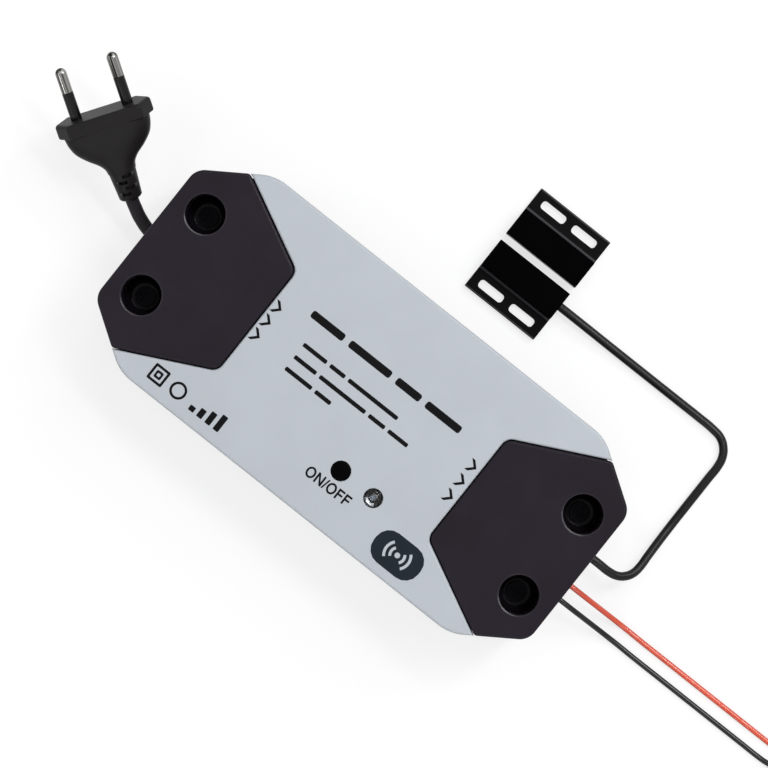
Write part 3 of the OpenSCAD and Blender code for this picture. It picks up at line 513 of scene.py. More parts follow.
def make_tray():
    """The lower shell with its posts, standoffs, cable saddles and sunk screw holes."""
    levels = round_bottom(0, EDGE_R) + [(SEAM_Z - SEAM_V, 0), (SEAM_Z, SEAM_V)]
    tray = plate("tray_shell", CASE_SHAPE, levels)
    cut(tray, plate("room", CASE_SHAPE, [(WALL, WALL), (SEAM_Z + OVER, WALL)]))
    base = WALL - OVER
    add(tray, *[rod("post", POST_R, base, WELL_BASE, c) for c in corners((WELL_X, WELL_Y))])
    add(tray, *[rod("post", CASE_POST_R, OVER, SEAM_Z, c) for c in corners(CASE_POST)])
    add(tray, *[rod("post", STANDOFF_R, base, STANDOFF_TOP, c) for c in corners(STANDOFF)])
    (near_x, far_x), (out_0, out_1), (in_0, in_1) = SADDLE_X, OUTPUT_SADDLE, INPUT_SADDLE
    add(
        tray,
        block("saddle", (near_x, out_0, base), (far_x, out_1, SADDLE_TOP)),
        block("saddle", (-far_x, in_0, base), (-near_x, in_1, SADDLE_TOP)),
    )
    mouth_r, top = CASE_SINK_R + CASE_SINK_EDGE, SEAM_Z + OVER
    sunk = [
        (0, -OVER), (mouth_r, -OVER), (mouth_r, 0), (CASE_SINK_R, CASE_SINK_EDGE),
        (CASE_SINK_R, CASE_SINK), (CASE_SHANK_R, CASE_SINK), (CASE_SHANK_R, top), (0, top),
    ]
    cut(tray, *[lathe("sink", sunk, c, segments=32) for c in corners(CASE_POST)])
    for side in (1, -1):
        cut(tray, *passage_tools(side, SADDLE_X[0] - OVER, HALF_L + OVER))
    dress(tray, TRAY_CHARCOAL, "tray_charcoal", "base_tray")


def cap_cutter(side):
    """A cap's outline widened by the seam, with a flared mouth that rounds the cover's edge."""
    flare = [(z, -SEAM_GAP - inset) for z, inset in round_top(TOP_Z, SEAM_EDGE)]
    levels = [(SEAM_Z - OVER, -SEAM_GAP)] + flare + [(TOP_Z + OVER, -SEAM_GAP - SEAM_EDGE)]
    return plate("cap_cutter", CAP_SHAPES[side], levels)


def hole_cutter(r, at):
    """A round hole through the top plate with a rounded upper edge."""
    mouth = [(r + inset, z) for z, inset in round_top(TOP_Z, HOLE_EDGE, steps=4)]
    profile = [(0, SEAM_Z), (r, SEAM_Z)] + mouth + [(r + HOLE_EDGE, TOP_Z + OVER), (0, TOP_Z + OVER)]
    return lathe("hole", profile, at)


BUTTON_LOW, BUTTON_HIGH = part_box("button_cap")
BUTTON_AT = (BUTTON_LOW + BUTTON_HIGH) / 2
BUTTON_R, BUTTON_HOLE_R, BUTTON_EDGE = mm(3.3, 3.55, 0.5)
BUTTON_GUIDE_R, BUTTON_GUIDE_H, BUTTON_STEM_R = mm(6, 4, 2)
BUTTON_FLANGE_GAP, BUTTON_FLANGE_T = mm(0.3, 1.4)
LENS_LOW, LENS_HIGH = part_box("indicator_lens")
LENS_AT = (LENS_LOW + LENS_HIGH) / 2
LENS_RIM_R = (LENS_HIGH.x - LENS_LOW.x) / 2
LENS_R, LENS_HOLE_R, LENS_SINK = mm(3.2, 3.4, 0.6)
SHELL_LEVELS = [(SEAM_Z, SEAM_V), (SEAM_Z + SEAM_V, 0)] + round_top(TOP_Z, EDGE_R)


def make_cover():
    """The grey middle shell, cut out for the two caps, the button and the lens."""
    cover = plate("cover_shell", CASE_SHAPE, SHELL_LEVELS)
    cut(cover, plate("room", CASE_SHAPE, [(SEAM_Z - OVER, WALL), (TOP_Z - SKIRT, WALL)]))
    upper = plate("room", CASE_SHAPE, [(TOP_Z - SKIRT - OVER, WALL), (TOP_Z - WALL, WALL)])
    grown = [(SEAM_Z, -SEAM_GAP - WALL), (TOP_Z, -SEAM_GAP - WALL)]
    cut(upper, *[plate("cap_room", CAP_SHAPES[side], grown) for side in (1, -1)])
    cut(cover, upper)
    guide_z = TOP_Z - WALL - BUTTON_GUIDE_H
    add(cover, rod("guide", BUTTON_GUIDE_R, guide_z, TOP_Z - OVER, BUTTON_AT))
    add(cover, *[rod("post", CASE_POST_R, SEAM_Z, TOP_Z - OVER, c) for c in corners(CASE_POST)])
    cut(cover, *[cap_cutter(side) for side in (1, -1)])
    pilot = (CASE_PILOT_R, SEAM_Z - OVER, CASE_PILOT_TOP)
    cut(cover, *[rod("bore", *pilot, c) for c in corners(CASE_POST)])
    cut(cover, hole_cutter(BUTTON_HOLE_R, BUTTON_AT), hole_cutter(LENS_HOLE_R, LENS_AT))
    dress(cover, COVER_GREY, "cover_grey", "top_cover")


def finish_rims(cap, places):
    """Gives the sloping rims of the wells a glossier finish and a sharp edge."""
    cap.data.materials.append(CAP_RIM)

    def by_well(point):
        return any((point.xy - Vector(at)).length < WELL_R + WELL_EDGE + TINY for at in places)

    for face in cap.data.polygons:
        if TOP_Z - WELL_FALL < face.center.z < TOP_Z and by_well(face.center):
            face.material_index = 1
    points = [v.co for v in cap.data.vertices]
    for edge in cap.data.edges:
        ends = [points[k] for k in edge.vertices]
        if all(abs(p.z - TOP_Z) < TINY and by_well(p) for p in ends):
            edge.use_edge_sharp = True


def make_cap(side, name, node):
    """An end cap with its two screw wells and the ways of its cables."""
    shape = CAP_SHAPES[side]
    cap = plate(name, shape, SHELL_LEVELS)
    cut(cap, plate("room", CASE_SHAPE, [(SEAM_Z - OVER, WALL), (TOP_Z - SKIRT, WALL)]))
    cut(cap, plate("room", shape, [(TOP_Z - SKIRT - OVER, WALL), (TOP_Z - WALL, WALL)]))
    places = [(side * WELL_X, y) for y in (-WELL_Y, WELL_Y)]
    well = (WELL_R + WELL_WALL, WELL_BASE, TOP_Z - WALL / 2)
    add(cap, *[rod("well", *well, at, segments=64) for at in places])
    mouth = [(WELL_R, TOP_Z - WELL_FALL), (WELL_R + WELL_EDGE, TOP_Z)]
    dish = [(WELL_R - inset, z) for z, inset in round_bottom(WELL_FLOOR, WELL_DISH)]
    bore = [(0, SEAM_Z), (SHANK_R, SEAM_Z), (SHANK_R, WELL_FLOOR)] + dish + mouth
    bore += [(WELL_R + WELL_EDGE, TOP_Z + OVER), (0, TOP_Z + OVER)]
    cut(cap, *[lathe("bore", bore, at, segments=72) for at in places])
    cut(cap, *passage_tools(side, HALF_L - 2 * WALL, HALF_L + OVER))
    dress(cap, CAP_CHARCOAL, "cap_charcoal", node)
    finish_rims(cap, places)


make_tray()
make_cover()
make_cap(1, "output_cap_shell", "output_end_cap")
make_cap(-1, "input_cap_shell", "input_end_cap")


def make_button():
    """The button: a rounded top, a guide flange and the stem down to the switch."""
    flange_r = (BUTTON_HIGH.x - BUTTON_LOW.x) / 2
    flange_z = TOP_Z - WALL - BUTTON_GUIDE_H - BUTTON_FLANGE_GAP
    under_z = flange_z - BUTTON_FLANGE_T
    dome = [(BUTTON_R - inset, z) for z, inset in round_top(BUTTON_HIGH.z, BUTTON_EDGE)]
    profile = [
        (0, BUTTON_LOW.z), (BUTTON_STEM_R, BUTTON_LOW.z), (BUTTON_STEM_R, under_z),
        (flange_r, under_z), (flange_r, flange_z), (BUTTON_R, flange_z),
    ]
    button = lathe("button_top", profile + dome + [(0, BUTTON_HIGH.z)], BUTTON_AT)
    dress(button, BUTTON_BLACK, "button_black", "button_cap", body="button")


REFLECTOR_R = mm(1.7, 2.95)
REFLECTOR_SINK, REFLECTOR_RISE, REFLECTOR_T = mm(0.7, 0.25, 0.12)
REFLECTOR_MIDDLE, REFLECTOR_SPAN = math.radians(-98), math.radians(104)
REFLECTOR_STEPS = 16
BAFFLE_HOLE_R, BAFFLE_T = mm(1.0, 0.4)


def make_reflector():
    """A bright dished strip moulded into one side of the lens."""
    inner, outer = REFLECTOR_R
    foot = TOP_Z - REFLECTOR_SINK
    section = [
        (inner, foot), (outer, foot + REFLECTOR_RISE),
        (outer, foot + REFLECTOR_RISE - REFLECTOR_T), (inner, foot - REFLECTOR_T),
    ]
    rings = []
    for i in range(REFLECTOR_STEPS + 1):
        at = REFLECTOR_MIDDLE + REFLECTOR_SPAN * (i / REFLECTOR_STEPS - 0.5)
        c, s = math.cos(at), math.sin(at)
        rings.append([(LENS_AT.x + r * c, LENS_AT.y + r * s, z) for r, z in section])
    dress(stacked("lens_reflector", rings), REFLECTOR, "shield_steel")


def make_baffle():
    """A black ring under the lens, open only over the lamp."""
    ring = rod("lens_baffle", LENS_RIM_R, LENS_LOW.z - BAFFLE_T, LENS_LOW.z, LENS_AT)
    cut(ring, rod("hole", BAFFLE_HOLE_R, LENS_LOW.z - OVER, LENS_LOW.z + OVER, LENS_AT))
    dress(ring, BAFFLE_BLACK, "switch_black")


def make_lens():
    """The indicator's domed lens with its rim under the plate."""
    rim_z, base_z = TOP_Z - WALL, TOP_Z - LENS_SINK
    rise = LENS_HIGH.z - base_z
    dome = [(LENS_R * math.cos(t), base_z + rise * math.sin(t)) for t in quarter(14)[:-1]]
    profile = [(0, LENS_LOW.z), (LENS_RIM_R, LENS_LOW.z), (LENS_RIM_R, rim_z), (LENS_R, rim_z)]
    lens = lathe("lens_dome", profile + dome + [(0, LENS_HIGH.z)], LENS_AT)
    dress(lens, LENS_CLEAR, "lens_clear", "indicator_lens")


make_button()
make_lens()
make_reflector()
make_baffle()

# Plug: its own frame has Z along the axis, Y across the pins and X through its thickness
PLUG_FRAME = (
    Matrix.Translation(PLUG_PLACE)
    @ Matrix.Rotation(math.pi - PLUG_YAW, 4, "Z")
    @ Matrix.Rotation(math.pi / 2 - PLUG_TILT, 4, "Y")
)
# Share of the body's length, half width and half thickness, in millimetres
PLUG_SECTIONS = [
    (0, 5.1, 5.0), (0.12, 5.6, 5.1), (0.26, 7.4, 5.3), (0.42, 10.6, 5.7),
    (0.62, 13.6, 6.3), (0.82, 15.0, 6.75), (1, 15.5, 6.95),
]
PLUG_RINGS = 28
# A share just short of the last section
LAST_SHARE = 0.9999
# Power of a section's curve at the relief, 1 for an oval and less for a squarer one, and its fall
RING_POWER, POWER_FALL = 0.9, (0.45, 0.15)


def smooth_section(share):
    """Half width and half thickness of the plug's body, on a smooth curve through its sections."""
    last = len(PLUG_SECTIONS) - 1
    k = max(i for i in range(last) if PLUG_SECTIONS[i][0] <= share)
    before, start, end, after = [PLUG_SECTIONS[min(max(i, 0), last)] for i in range(k - 1, k + 3)]
    run = end[0] - start[0]
    t = (share - start[0]) / run
    values = []
    for axis in (1, 2):
        slope_a = (end[axis] - before[axis]) / (end[0] - before[0]) * run
        slope_b = (after[axis] - start[axis]) / (after[0] - start[0]) * run
        values.append(
            start[axis] * (2 * t**3 - 3 * t**2 + 1) + slope_a * (t**3 - 2 * t**2 + t)
            + end[axis] * (3 * t**2 - 2 * t**3) + slope_b * (t**3 - t**2)
        )
    return mm(*values)


def plug_ring(share, z, count=64):
    """One section of the plug's body: round at the relief, squarer towards the flange."""
    half_w, half_t = smooth_section(min(share, LAST_SHARE))
    across, along = [RING_POWER - fall * share for fall in POWER_FALL]
    ring = []
    for i in range(count):
        c, s = math.cos(2 * math.pi * i / count), math.sin(2 * math.pi * i / count)
        x = half_t * math.copysign(abs(c) ** across, c)
        y = half_w * math.copysign(abs(s) ** along, s)
        ring.append((x, y, z))
    return ring


def relief_slit(k):
    """A window through the strain relief, beside the core round the lead."""
    z = SLIT_START + k * SLIT_PITCH
    near, far = SLIT_OFFSET, SLIT_OFFSET + SLIT_L
    low, high = (near, far) if k % 2 == 0 else (-far, -near)
    slit = block("slit", (-2 * NECK_R, low, z), (2 * NECK_R, high, z + SLIT_W))
    return cut(slit, rod("core", SLIT_CORE, z - OVER, z + SLIT_W + OVER))


def make_plug():
    """The plug's flange, wine-glass body and slotted strain relief as one moulding."""
    half_t, half_w, half_flat = PLUG_T / 2, PLUG_W / 2, PLUG_FLAT / 2
    hexagon = [Vector(p) for p in (
        (half_t, -half_flat), (half_t, half_flat), (0, half_w),
        (-half_t, half_flat), (-half_t, -half_flat), (0, -half_w),
    )]
    flange_z = PLUG_L - PLUG_FLANGE
    levels = round_bottom(flange_z, PLUG_BACK_EDGE, steps=4) + round_top(PLUG_L, PLUG_FACE_EDGE)
    plug = plate("plug_moulding", (hexagon, [PLUG_CORNER_R] * 6), levels, steps=6)
    rings = []
    for i in range(PLUG_RINGS + 1):
        share = i / PLUG_RINGS
        rings.append(plug_ring(share, RELIEF_L + share * (flange_z - RELIEF_L)))
    rings.append(plug_ring(1, flange_z + OVER))
    add(plug, stacked("shell", rings))
    relief = [(0, 0), (RELIEF_R - RELIEF_EDGE, 0), (RELIEF_R, RELIEF_EDGE), (RELIEF_TOP_R, RELIEF_L)]
    relief += [(RELIEF_ROOT_R, RELIEF_L + OVER), (0, RELIEF_L + OVER)]
    add(plug, lathe("relief", relief))
    cut(plug, *[relief_slit(k) for k in range(SLITS)])
    cut(plug, rod("bore", MAINS_D / 2 + PASSAGE_GAP, -OVER, PLUG_BORE))
    socket = (PIN_CORE_R + SOCKET_GAP, PLUG_L - PIN_ROOT, PLUG_L + OVER)
    cut(plug, *[rod("socket", *socket, (0, y)) for y in PIN_SIDES])
    plug.matrix_world = PLUG_FRAME
    return dress(plug, PLUG_BLACK, "plug_black", "plug_body", angle=32)


def make_pins():
    """The two pins, bare at their rounded ends."""
    tip = [(PIN_R * math.cos(t), PLUG_L + PIN_L - PIN_R * (1 - math.sin(t))) for t in quarter(10)[:-1]]
    sleeve_z = PLUG_L + SLEEVE_L
    profile = [(0, PLUG_L - PIN_ROOT), (PIN_CORE_R, PLUG_L - PIN_ROOT), (PIN_CORE_R, sleeve_z)]
    profile += [(PIN_R - PIN_EDGE, sleeve_z), (PIN_R, sleeve_z + PIN_EDGE)]
    profile += tip + [(0, PLUG_L + PIN_L)]
    pins = gathered("plug_contacts", [lathe("pin", profile, (0, y)) for y in PIN_SIDES])
    pins.matrix_world = PLUG_FRAME
    return dress(pins, PIN_NICKEL, "pin_nickel", "plug_pins")


def make_sleeves():
    """The insulating sleeves on the pins' roots."""
    z0, z1 = PLUG_L, PLUG_L + SLEEVE_L
    profile = [(0, z0), (PIN_R, z0), (PIN_R, z1 - SLEEVE_EDGE), (PIN_R - SLEEVE_EDGE, z1), (0, z1)]
    bore = (PIN_CORE_R + SOCKET_GAP, z0 - OVER, z1 + OVER)
    sleeves = [cut(lathe("sleeve", profile, (0, y)), rod("bore", *bore, (0, y))) for y in PIN_SIDES]
    tubes = gathered("contact_sleeves", sleeves)
    tubes.matrix_world = PLUG_FRAME
    return dress(tubes, SLEEVE_BLACK, "sleeve_black", "pin_sleeves")


plug_pieces = [make_plug(), make_pins(), make_sleeves()]

# Sensor pair
FLANGE_W, FLANGE_T = mm(9.4, 2.4)
RAMP_W, RAMP_H = mm(1.1, 0.55)
EDGE_RUN, EDGE_FALL = mm(0.6, 0.3)
SLOT_L, SLOT_W, SLOT_PITCH, SLOT_INSET = mm(10.4, 3.2, 13.8, 4.2)
SLOT_CORNER_R = SLOT_W / 2 * 0.75
HALF_WALL, HALF_EDGE, POCKET_ROOF = mm(1.3, 0.3, 1.4)
CABLE_ENTRY = Vector((33.2, 70.4, 3.5)) * MM
# Signs of a rectangle's corners, counter-clockwise
SIGNS = ((1, -1), (1, 1), (-1, 1), (-1, -1))


def slot_tool(x, y):
    """A bar with rounded ends that cuts a fixing slot."""
    points = [Vector((x + sx * SLOT_L / 2, y + sy * SLOT_W / 2)) for sx, sy in SIGNS]
    return plate("slot", (points, [SLOT_CORNER_R] * 4), [(-OVER, 0), (FLANGE_T + OVER, 0)], steps=8)


def make_half(name, node, flange_side):
    """One half of the pair: a block with a slotted flange and a pocket from below."""
    low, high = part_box(node)
    width, height = high.y - low.y, high.z
    section = [
        (0, 0), (0, FLANGE_T - EDGE_FALL), (EDGE_RUN, FLANGE_T), (FLANGE_W - RAMP_W, FLANGE_T),
        (FLANGE_W, FLANGE_T + RAMP_H), (FLANGE_W, height), (width, height), (width, 0),
    ]
    edge = low.y if flange_side < 0 else high.y
    rings = [[(x, edge - flange_side * y, z) for y, z in section] for x in (low.x, high.x)]
    half = stacked(name, rings)
    middle = (low.x + high.x) / 2
    slot_y = edge - flange_side * SLOT_INSET
    cut(half, *[slot_tool(middle + s * SLOT_PITCH / 2, slot_y) for s in (-1, 1)])
    soften(half, HALF_EDGE)
    pocket = sorted(edge - flange_side * y for y in (FLANGE_W + HALF_WALL, width - HALF_WALL))
    pocket_low = (low.x + HALF_WALL, pocket[0], -OVER)
    pocket_high = (high.x - HALF_WALL, pocket[1], height - POCKET_ROOF)
    cut(half, block("pocket", pocket_low, pocket_high))
    if flange_side < 0:
        r = SENSOR_D / 2 + PASSAGE_GAP
        x0 = CABLE_ENTRY.x - 2 * HALF_WALL
        cut(half, rod_x("entry", r, x0, CABLE_ENTRY.x + OVER, CABLE_ENTRY.y, CABLE_ENTRY.z))
    return half


# Outward tilt of a ramp or outer edge, and the least upward share of a normal that faces up
SLOPE_TILT = (0.3, 0.6)
FACES_UP = 0.8


def make_sensor(name, node, flange_side, body):
    """A finished half: a polished block, a grained flange, and a ramp and outer edge in a satin finish
    painted lighter as a highlight.
    """
    half = make_half(name, node, flange_side)
    dress(half, SENSOR_BLACK, "sensor_black", node, body=body)
    half.data.materials.append(SENSOR_SATIN_HIGHLIGHT)
    half.data.materials.append(SENSOR_GRAIN)
    for face in half.data.polygons:
        if face.normal.z <= FACES_UP:
            continue
        # Faces that slope outwards on the ramp and the outer edge take the lighter satin: a painted
        # highlight.
        if SLOPE_TILT[0] < face.normal.y * flange_side < SLOPE_TILT[1]:
            face.material_index = 1
        elif face.center.z < FLANGE_T + RAMP_H:
            face.material_index = 2


make_sensor("reed_shell", "reed_housing", -1, "case")
make_sensor("magnet_shell", "magnet_housing", 1, "magnet")

# Cords: the routes of the part's source, in millimetres
MAINS_ROUTE = metres([
    (-66, 0.8, 14), (-72, 0.8, 14), (-80, 0.8, 14), (-88, 0.8, 14), (-93, 0.8, 14), (-96, 0.9, 14),
    (-98.4, 1.4, 14.2), (-100.8, 2.2, 14.5), (-103.2, 3.2, 15), (-105.4, 4.4, 15.5), (-107.2, 5.4, 16),
    (-108.6, 6.3, 16.5), (-114.8, 10.5, 19.2),
])
SENSOR_ROUTE = metres([
    (66, 7.7, 14), (74, 7.7, 14), (82, 7.7, 14), (90, 7.7, 14), (96, 7.7, 14), (100.2, 7.7, 13.7),
    (104.3, 7.7, 12.8), (107.4, 8.3, 11.7), (110, 10, 10.5), (111.7, 12.6, 9.2), (112.3, 15.7, 7.8),
    (112.3, 20, 5.9), (112.3, 25, 3.9), (112.3, 30, 2.5), (112.3, 36, 1.7), (112.3, 43, 1.6),
    (112.3, 50, 1.6), (112.3, 56, 1.6), (112.3, 61, 1.6), (111.6, 64.4, 1.6), (109.6, 67.5, 1.6),
    (106.7, 69.5, 1.6), (103, 70.2, 1.6), (96, 70.4, 1.6), (88, 70.4, 1.6), (80, 70.4, 1.6),
    (72, 70.4, 1.6), (64, 70.4, 1.7), (56, 70.4, 2.1), (49, 70.4, 2.8), (43, 70.4, 3.3),
    (38, 70.4, 3.5), (33, 70.4, 3.5), (29.4, 70.4, 3.5),
])
RED_ROUTE = metres([
    (66, -4.5, 14), (74, -4.5, 14), (82, -4.5, 14), (90, -4.5, 14), (96, -4.5, 14), (99, -4.5, 13.7),
    (102, -4.5, 12.8), (105, -4.5, 11.2), (108, -4.5, 9), (111, -4.5, 6.6), (114, -4.5, 4.4),
    (117, -4.5, 2.7), (120, -4.5, 1.6), (124, -4.5, 1.1), (130, -4.6, 1), (138, -4.6, 1),
    (148, -4.6, 1), (158, -4.6, 1), (168, -4.6, 1), (178, -4.6, 1), (188, -4.6, 1), (196, -4.6, 1.1),
    (202, -4.6, 1.5), (207, -4.6, 1.9), (210, -4.6, 1.9),
])
BLACK_ROUTE = metres([
    (66, -10.7, 14), (74, -10.7, 14), (82, -10.7, 14), (90, -10.7, 14), (96, -10.7, 14),
    (99, -10.7, 13.7), (102, -10.7, 12.8), (105, -10.7, 11.2), (108, -10.7, 9), (111, -10.7, 6.6),
    (114, -10.7, 4.4), (117, -10.7, 2.7), (120, -10.7, 1.6), (124, -10.7, 1.1), (130, -10.8, 1),
    (140, -10.8, 1), (150, -10.8, 1), (160, -10.8, 1), (170, -10.8, 1), (180, -10.8, 1),
    (187, -10.8, 1.1), (191, -10.6, 1.5), (195, -9.7, 2.6), (199, -8, 4.2), (203, -6.2, 5.8),
    (207, -4.8, 6.8), (210, -4.6, 6.9),
])
COIL_X = 212 * MM
COIL_TURNS, COIL_STEPS = 3, 24
COIL_PITCH, COIL_INNER_R, COIL_TAIL = mm(2.5, 7.25, 10)
COIL_Y = RED_ROUTE[-1][1] + COIL_INNER_R + COIL_TURNS * COIL_PITCH
# Part of a turn over which a wire climbs from one layer to the next
COIL_CLIMB = 0.5
STUB_END_X, STUB_MIDDLE_X = mm(53, 60)


def coil_point(turn, z):
    """A point of the coil after so many turns: inwards on one layer, outwards on the next."""
    angle = 2 * math.pi * turn
    away = turn - COIL_TURNS
    r = COIL_INNER_R + COIL_PITCH * abs(away)
    t = max(0.0, min(1.0, away / COIL_CLIMB + 0.5))
    rise = COIL_PITCH * t * t * (3 - 2 * t)
    return COIL_X + r * math.sin(angle), COIL_Y - r * math.cos(angle), z + rise


def coil_route(z):
    turns = [coil_point(i / COIL_STEPS, z) for i in range(2 * COIL_TURNS * COIL_STEPS + 1)]
    x, y, top = turns[-1]
    return turns + [(x + WIRE_D, y, top), (x + COIL_TAIL / 2, y, top), (x + COIL_TAIL, y, top)]


def cord(name, route, diameter, steps=5):
    """A round cord along a route, as one open curve."""
    curve = bpy.data.curves.new(name, "CURVE")
    curve.dimensions = "3D"
    curve.bevel_depth = diameter / 2
    curve.bevel_resolution = 5
    curve.resolution_u = steps
    curve.use_fill_caps = True
    spline = curve.splines.new("BEZIER")
    spline.bezier_points.add(len(route) - 1)
    for knot, place in zip(spline.bezier_points, route):
        knot.co = place
        knot.handle_left_type = "AUTO"
        knot.handle_right_type = "AUTO"
    return linked(name, curve)


mains = cord("mains_cord", MAINS_ROUTE, MAINS_D)
dress(mains, LEAD_BLACK, "cable_black", "mains_lead")
sensor_lead = cord("sensor_cord", SENSOR_ROUTE, SENSOR_D)
dress(sensor_lead, CABLE_BLACK, "cable_black", "sensor_cable")


def make_wire(colour, route, material, y, with_pieces):
    """An output wire: one cord from the clamp through its coil, and a stub to the terminal."""
    slot = f"wire_{colour}"
    wire = cord(f"{colour}_cord", route + coil_route(route[-1][2])[1:], WIRE_D, steps=4)
    dress(wire, material, slot, f"{colour}_wire", f"{colour}_coil")
    stub_route = [(STUB_END_X, y, SEAM_Z), (STUB_MIDDLE_X, y, SEAM_Z), route[0]]
    dress(cord(f"{colour}_stub", stub_route, WIRE_D), material, slot)


TIE_LOW, TIE_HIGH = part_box("coil_tie")
TIE_T, TIE_R, TIE_EDGE = mm(0.6, 2, 0.2)
TIE_HEAD_X = 2.4 * MM
TIE_HEAD = Vector((2.5, 2.6, 2.3)) * MM
TIE_TAIL = Vector((0.45, 2, 1.2)) * MM


def make_tie():
    """The coil's tie: a rounded strap with its head on top and a trimmed tail."""
    middle, half = (TIE_LOW + TIE_HIGH) / 2, (TIE_HIGH - TIE_LOW) / 2
    shape = ([Vector((sx * half.y, sy * half.z)) for sx, sy in SIGNS], [TIE_R] * 4)
    levels = round_bottom(-half.x, TIE_EDGE, steps=3) + round_top(half.x, TIE_EDGE, steps=3)
    strap = plate("tie_strap", shape, levels)
    cut(strap, plate("room", shape, [(-half.x - OVER, TIE_T), (half.x + OVER, TIE_T)]))
    head_z, tail_z = half.z - TIE_T / 2, half.z + TIE_HEAD.y
    head_low = (TIE_HEAD_X - TIE_HEAD.x, head_z, -TIE_HEAD.z)
    head = block("head", head_low, (TIE_HEAD_X + TIE_HEAD.x, tail_z, TIE_HEAD.z))
    soften(head, 2 * TIE_EDGE)
    tail_low = (TIE_HEAD_X - TIE_TAIL.x, tail_z - OVER, -TIE_TAIL.z)
    tail = block("tail", tail_low, (TIE_HEAD_X + TIE_TAIL.x, tail_z + TIE_TAIL.y, TIE_TAIL.z))
    add(strap, head, tail)
    across, up, along = (0, 0, 1, middle.x), (1, 0, 0, middle.y), (0, 1, 0, middle.z)
    strap.data.transform(Matrix((across, up, along, (0, 0, 0, 1))))
    return dress(strap, TIE_BLACK, "tie_black", "coil_tie")


make_wire("red", RED_ROUTE, WIRE_RED, RED_Y, [nodes["wire_tips"]])
make_wire("black", BLACK_ROUTE, WIRE_BLACK, BLACK_Y, [make_tie()])

# Print on the cover, placed in millimetres: heights of the ink and of a tool that cuts right through it
INK = (TOP_Z - 0.05 * MM, TOP_Z + 0.03 * MM)
THROUGH = (INK[0] - OVER, INK[1] + OVER)
BAR_CORNER_R, SQUARE_CORNER_R, DASH_CORNER = 0.3, 0.5, 0.3


def ink_bar(x0, x1, y0, y1, radius=BAR_CORNER_R, heights=INK):
    """A bar with slightly rounded corners."""
    points = [Vector(p) * MM for p in ((x1, y0), (x1, y1), (x0, y1), (x0, y0))]
    return plate("mark", (points, [radius * MM] * 4), [(z, 0) for z in heights], steps=4)


def ink_line(y, words, height):
    """A row of dashes; words are pairs of start and end."""
    low, high = y - height / 2, y + height / 2
    return [ink_bar(x0, x1, low, high, height * DASH_CORNER) for x0, x1 in words]


def flat_mark(outline, heights=INK):
    """A flat mark inside any outline."""
    return upright("mark", metres(outline), heights)


def chevron(x, y, size, stroke):
    """An arrow head that points to the output side."""
    arm = size / 2
    return flat_mark([
        (x - arm, y - arm), (x - arm + stroke, y - arm), (x + stroke, y),
        (x - arm + stroke, y + arm), (x - arm, y + arm), (x, y),
    ])


def frame_mark(x, y, size, stroke):
    """A square drawn in outline."""
    h = size / 2
    outer = ink_bar(x - h, x + h, y - h, y + h, SQUARE_CORNER_R)
    h -= stroke
    return cut(outer, ink_bar(x - h, x + h, y - h, y + h, heights=THROUGH))


def oval(x, y, half_w, half_h, heights, count=64):
    turns = [2 * math.pi * i / count for i in range(count)]
    return flat_mark([(x + half_w * math.cos(t), y + half_h * math.sin(t)) for t in turns], heights)


def ring_mark(x, y, half_w, half_h, stroke):
    """A ring or an upright oval."""
    return cut(oval(x, y, half_w, half_h, INK), oval(x, y, half_w - stroke, half_h - stroke, THROUGH))


# Words of the switch: foot, height and stroke of the letters, then the places and sizes of each
LETTER_FOOT, LETTER_H, LETTER_STROKE = -31.1, 3.95, 0.72
ROUND_PLACES, ROUND_HALF_W, ROUND_HALF_H = (0.7, 9.68), 1.8, 2.07
DIAGONAL_X, DIAGONAL_W, DIAGONAL_FALL = 2.97, 3.13, 1.25
SLASH_X, SLASH_W, SLASH_LEAN = 6.36, 0.56, 0.86
ARM_PLACES, UPPER_ARM, LOWER_ARM, LOWER_ARM_Y = (11.97, 15.01), 2.5, 2.35, 1.62


def letter(x, outline):
    return flat_mark([(x + px, LETTER_FOOT + py) for px, py in outline])


def switch_words():
    """The words of the switch, in letters of even strokes."""
    s, h, w, fall, arm_y = LETTER_STROKE, LETTER_H, DIAGONAL_W, DIAGONAL_FALL, LOWER_ARM_Y
    diagonal = [
        (0, 0), (s, 0), (s, h - fall), (w - s, 0), (w, 0),
        (w, h), (w - s, h), (w - s, fall), (s, h), (0, h),
    ]
    slash = [(0, 0), (SLASH_W, 0), (SLASH_LEAN + SLASH_W, h), (SLASH_LEAN, h)]
    arms = [
        (0, 0), (s, 0), (s, arm_y), (LOWER_ARM, arm_y), (LOWER_ARM, arm_y + s),
        (s, arm_y + s), (s, h - s), (UPPER_ARM, h - s), (UPPER_ARM, h), (0, h),
    ]
    letters = [ring_mark(x, LETTER_FOOT + h / 2, ROUND_HALF_W, ROUND_HALF_H, s) for x in ROUND_PLACES]
    letters += [letter(DIAGONAL_X, diagonal), letter(SLASH_X, slash)]
    return letters + [letter(x, arms) for x in ARM_PLACES]


BADGE_AT, BADGE_SIZE, BADGE_R = (41.6, -33.0), (19.4, 12.6), 5.6
WAVE_RADII, WAVE_STROKE = (2.6, 4.7), 1.0
WAVE_REACH, WAVE_STEPS = 0.72, 16


def wave_tools(x, y):
    """Cutters for a dot with two arcs on either side of it."""
    tools = [rod("dot", WAVE_STROKE * MM, *THROUGH, mm(x, y))]
    turns = [WAVE_REACH * (2 * i / WAVE_STEPS - 1) for i in range(WAVE_STEPS + 1)]
    for r in WAVE_RADII:
        for side in (-1, 1):
            arc = []
            for radius, order in ((r + WAVE_STROKE / 2, 1), (r - WAVE_STROKE / 2, -1)):
                arc += [(x + side * radius * math.cos(t), y + radius * math.sin(t)) for t in turns[::order]]
            tools.append(flat_mark(arc, THROUGH))
    return tools


def make_badge(x, y):
    """A dark rounded field with a plain transmitter sign left open in it."""
    w, h = BADGE_SIZE[0] / 2, BADGE_SIZE[1] / 2
    field = ink_bar(x - w, x + w, y - h, y + h, BADGE_R)
    field.name = "cover_badge"
    dress(cut(field, *wave_tools(x, y)), BADGE_INK, "button_black")


